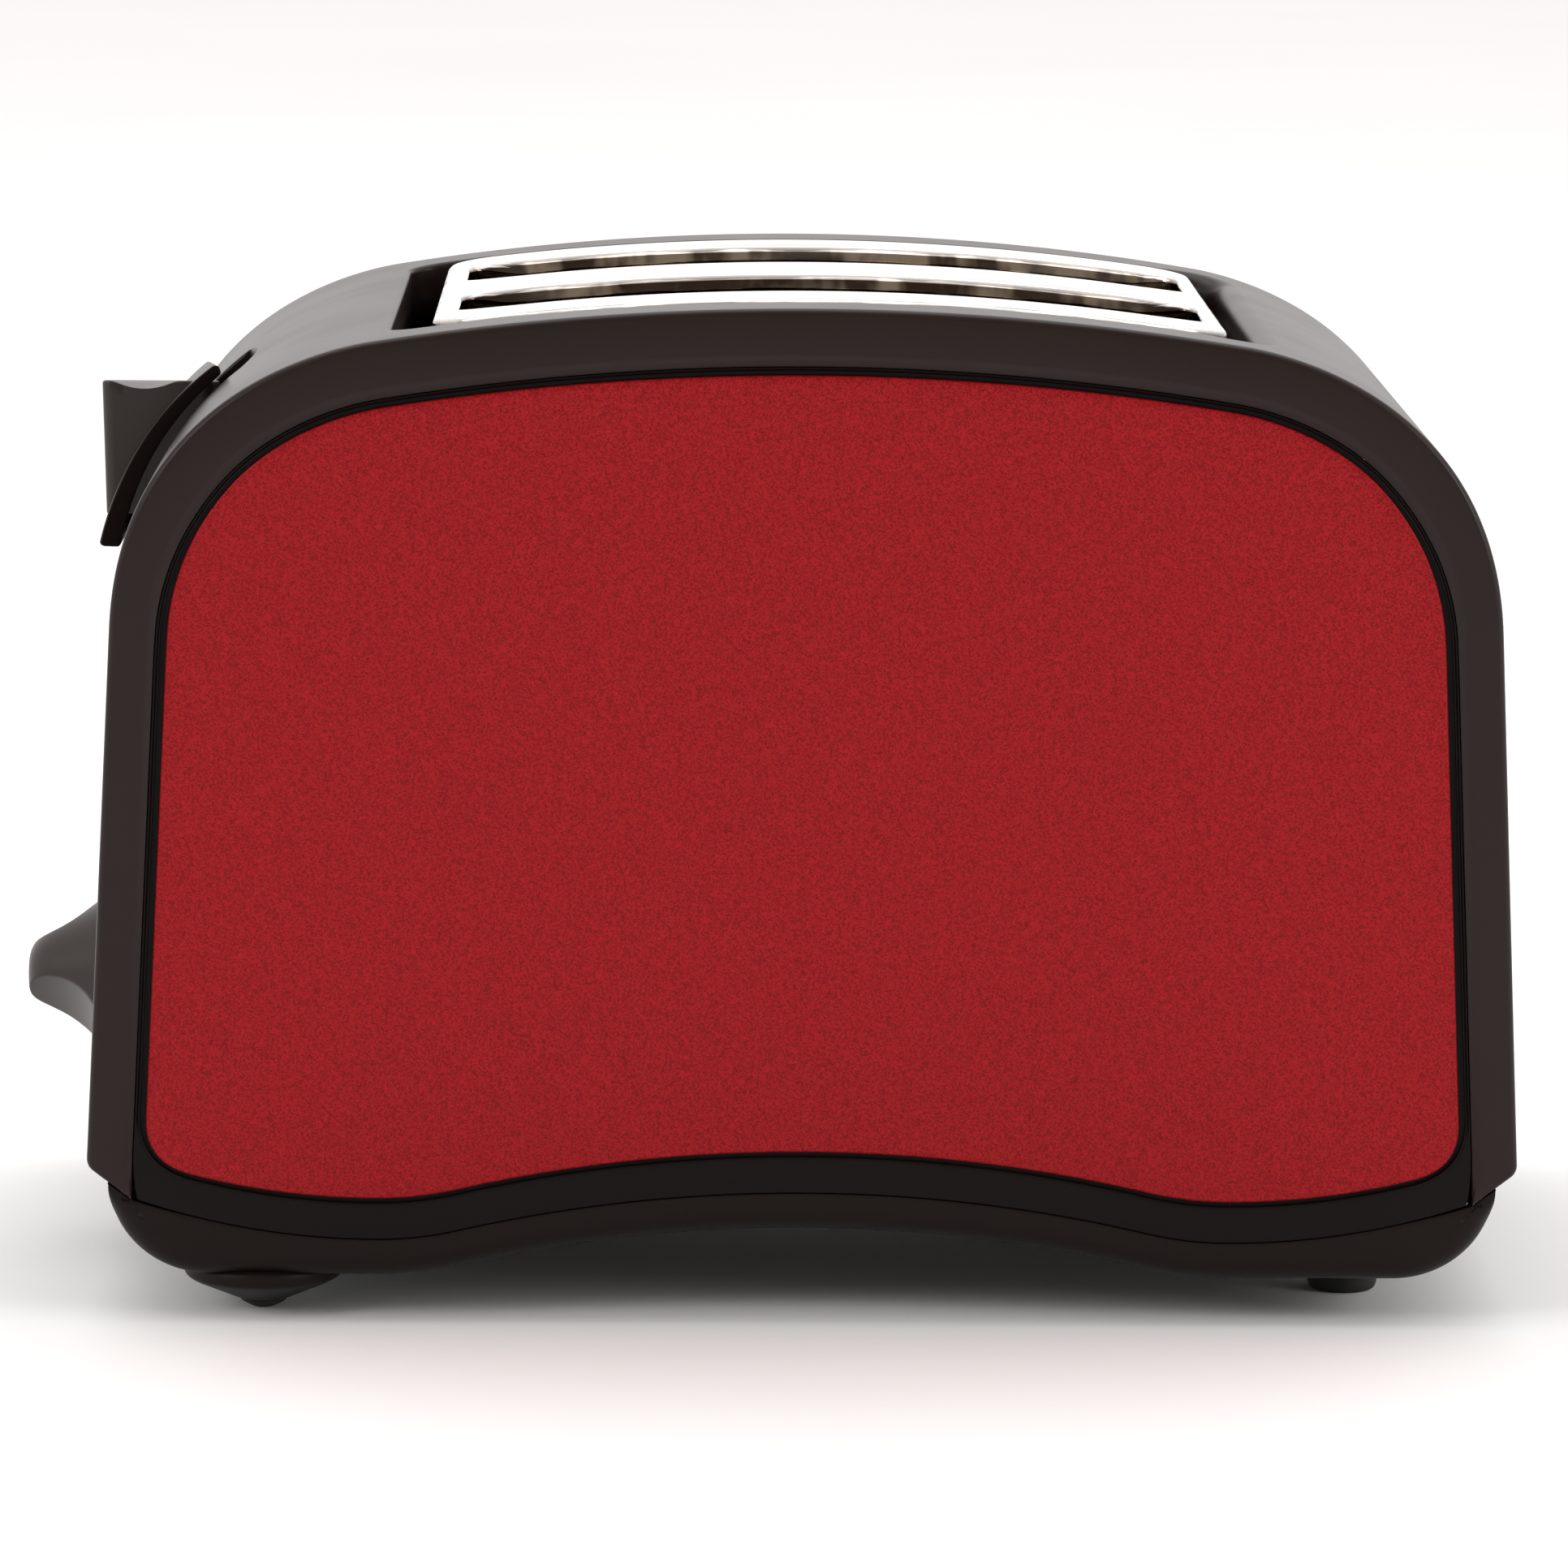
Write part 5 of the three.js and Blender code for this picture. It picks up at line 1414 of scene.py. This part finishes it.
def tray_face():
    """The front piece: a closed section in X and Z, its outside on the base's ellipse, carried along Y."""
    steps = 15
    z = np.linspace(TRAY_FACE["z0"], TRAY_FACE["z1"], steps)
    height = (BASE_END["z"] - z) / (BASE_END["z"] - BASE_LEVEL)
    outside = BASE_END["x"] + BASE_END["width"] * np.sqrt(1 - height**2)
    y = np.linspace(-TRAY_FACE["half"], TRAY_FACE["half"], 61)[:, None]
    across = smoothstep(FINGER_HOLLOW["half"] - np.abs(y), 0, FINGER_HOLLOW["edge"])
    upwards = np.sin(np.clip((z - FINGER_HOLLOW["z0"]) / FINGER_HOLLOW["height"], 0, 1) * math.pi) ** 2
    front = outside - FINGER_HOLLOW["depth"] * across * upwards
    rows_x = np.concatenate([front, np.full((61, steps), TRAY_FACE["back"])], 1)
    rows_z = np.broadcast_to(np.concatenate([z, z[::-1]]), rows_x.shape)
    rows = np.stack([rows_x, np.broadcast_to(y, rows_x.shape), rows_z], -1)
    return [(rows, True), (fan(rows[0]), True), (fan(rows[-1]), True)]


add_piece("crumb_tray_pan", tray_pan(), "tray", sheet_steel, ["crumb_tray"], wall=0.8)
tray_front = add_piece("crumb_tray_front", tray_face(), "tray", base_black)
soften = tray_front.modifiers.new("edges", "BEVEL")
soften.width = 0.4 * MM
soften.segments = 3
soften.limit_method = "ANGLE"
soften.angle_limit = math.radians(45)

# %% [markdown]
# ## The cord's inlet
#
# At the back, on the seam, a soft gland lines the hole for the mains cord. It is a ring whose section is
# rounded at the mouth.

# %% Cord gland
gland_low, gland_high = box_mm("cord_gland")
GLAND_X, GLAND_Z = (gland_low[0] + gland_high[0]) / 2, (gland_low[2] + gland_high[2]) / 2
mouth = HALF_DEPTH - 0.1
ring_profile = smooth_profile([
    [3.2, 70.5], [3.2, mouth - 1.4], [3.3, mouth - 0.4], [3.7, mouth], [4.1, mouth], [4.5, mouth - 0.4],
    [4.5, mouth - 2], [4.5, 70.5], [3.2, 70.5]])
ring = turned(ring_profile, 0, 0)
ring = np.stack([GLAND_X + ring[..., 0], ring[..., 2], GLAND_Z + ring[..., 1]], -1)
add_piece("cord_gland_visual", [(ring, True)], "housing", rubber, ["cord_gland"])

# %% [markdown]
# ## Finishes for the works
#
# The parts inside keep their frame meshes, because their shapes are right. They only take their finishes.

# %% Dress the frame's own nodes
WORKS = {
    sheet_steel: ["chassis_end_left", "chassis_end_right", "reflector_front", "reflector_rear", "guide_rod",
                  "return_spring", "lift_rack_front", "lift_rack_rear"],
    zinc_steel: ["carriage_bracket", "keeper_plate", "magnet_core",
                 "browning_potentiometer", "browning_shaft",
                 "base_screw_1", "base_screw_2", "base_screw_3", "base_screw_4",
                 "chassis_screw_1", "chassis_screw_2", "chassis_screw_3", "chassis_screw_4"],
    mica_board: ["heater_board_front", "heater_board_centre", "heater_board_rear"],
    ribbon_metal: ["heater_ribbon_front", "heater_ribbon_centre_front", "heater_ribbon_centre_rear",
                   "heater_ribbon_rear"],
    copper_wire: ["magnet_coil"],
    board_green: ["control_board"],
    cream_plastic: ["terminal_block", "carriage_bush"],
    base_black: ["board_capacitor", "cancel_switch"],
}
for finish, names in WORKS.items():
    for name in names:
        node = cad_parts[name]
        node.data.materials.clear()
        node.data.materials.append(finish)
left_over = [name for name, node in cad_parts.items()
             if not node.hide_render and not any(name in names for names in WORKS.values())]
print("frame nodes without a finish:", left_over)

# %% [markdown]
# ## Floor and light
#
# A product like this is lit for a white page: a pale floor, a big soft light above and behind that draws the
# top of the arch, and soft lights at both sides of the camera for the paint. Dark plastic shows light only as
# reflection, so where the lights stand matters more than how strong they are.

# %% Floor


def pale_floor():
    """A matt near-white floor with the faintest mottle, clear from below so that the underside shows."""
    finish = Finish("pale_floor", Specular_IOR_Level=0.1)
    patch = finish.noise(0.4, 3.0)
    finish.feed("Base Color", finish.mix(patch, grey(0.88), grey(0.93)))
    finish.feed("Roughness", 0.85 + patch * 0.1)
    below = finish.node("ShaderNodeNewGeometry", {}, {}, "Backfacing")
    clear = finish.node("ShaderNodeBsdfTransparent", {}, {})
    surface = Wire(finish, finish.shader.outputs["BSDF"])
    either = finish.node("ShaderNodeMixShader", {}, {0: below, 1: surface, 2: clear})
    finish.tree.links.new(either.socket, finish.tree.nodes["Material Output"].inputs["Surface"])
    return finish.material


floor_mesh = bpy.data.meshes.new("floor")
FLOOR = 14.0
floor_mesh.from_pydata(
    [(-FLOOR, -FLOOR, 0), (FLOOR, -FLOOR, 0), (FLOOR, FLOOR, 0), (-FLOOR, FLOOR, 0)], [], [(0, 1, 2, 3)])
floor = bpy.data.objects.new("floor", floor_mesh)
bpy.context.scene.collection.objects.link(floor)
floor_mesh.materials.append(pale_floor())
print(f"floor: {2 * FLOOR:.0f} m square")

# %% Lights


def softbox(name, place, width, height, power):
    """A rectangular area light at place, turned to face the toaster; metres and watts."""
    light = bpy.data.lights.new(name, "AREA")
    light.shape = "RECTANGLE"
    light.size, light.size_y = width, height
    light.energy = power
    box = bpy.data.objects.new(name, light)
    bpy.context.scene.collection.objects.link(box)
    aim = Vector((0, 0, 0.1)) - Vector(place)
    box.matrix_world = Matrix.Translation(place) @ aim.to_track_quat("-Z", "Y").to_matrix().to_4x4()


softbox("overhead", (0.0, 0.6, 2.4), 2.4, 1.6, 20)
softbox("key_left", (-2.4, -1.9, 1.7), 1.0, 1.2, 26)
softbox("fill_right", (2.6, -1.5, 1.2), 1.2, 1.2, 26)

WHITE_SIDE = (1.26, 1.235, 1.22, 1)
DIM_SIDE = (0.34, 0.31, 0.28, 1)
DIM_TOWARDS = (0.0, -0.94, 0.34)
world = bpy.data.worlds.new("studio")
bpy.context.scene.world = world
world.use_nodes = True
room = Network(world.node_tree)
direction = room.node("ShaderNodeTexCoord", {}, {}, "Generated")
inputs = {0: direction, 1: DIM_TOWARDS}
towards = room.node("ShaderNodeVectorMath", {"operation": "DOT_PRODUCT"}, inputs, "Value")
glow = room.mix(towards.ramp(0.35, 0.85), WHITE_SIDE, DIM_SIDE)
world.node_tree.links.new(glow.socket, world.node_tree.nodes["Background"].inputs["Color"])
bpy.context.scene.view_settings.view_transform = "Standard"

# %% [markdown]
# ## Camera
#
# A long lens about a metre and a half in front and a little above, looking nine degrees down, which keeps the
# face nearly undistorted and shows the slot plate as a thin bright ellipse.

# %% Camera
CAMERA_PLACE = np.array([-25.743 + MIDDLE_X, -1503.864, 327.463]) * MM
PITCH, YAW, ROLL = (math.radians(v) for v in (8.9944, 0.8719, 0.4529))
forward = np.array([math.sin(YAW) * math.cos(PITCH), math.cos(YAW) * math.cos(PITCH), -math.sin(PITCH)])
right = np.array([math.cos(YAW), -math.sin(YAW), 0])
up = np.cross(right, forward)
rolled_right = right * math.cos(ROLL) + up * math.sin(ROLL)
rolled_up = up * math.cos(ROLL) - right * math.sin(ROLL)
camera_data = bpy.data.cameras.new("camera")
camera_data.sensor_width = 36.0
camera_data.lens = 180.24
camera = bpy.data.objects.new("camera", camera_data)
bpy.context.scene.collection.objects.link(camera)
turned_axes = Matrix(np.stack([rolled_right, rolled_up, -forward], 1).tolist()).to_4x4()
camera.matrix_world = Matrix.Translation(CAMERA_PLACE.tolist()) @ turned_axes
camera_data.clip_start, camera_data.clip_end = 0.05, 60
bpy.context.scene.camera = camera
print("camera at (m):", [round(v, 3) for v in camera.matrix_world.translation])
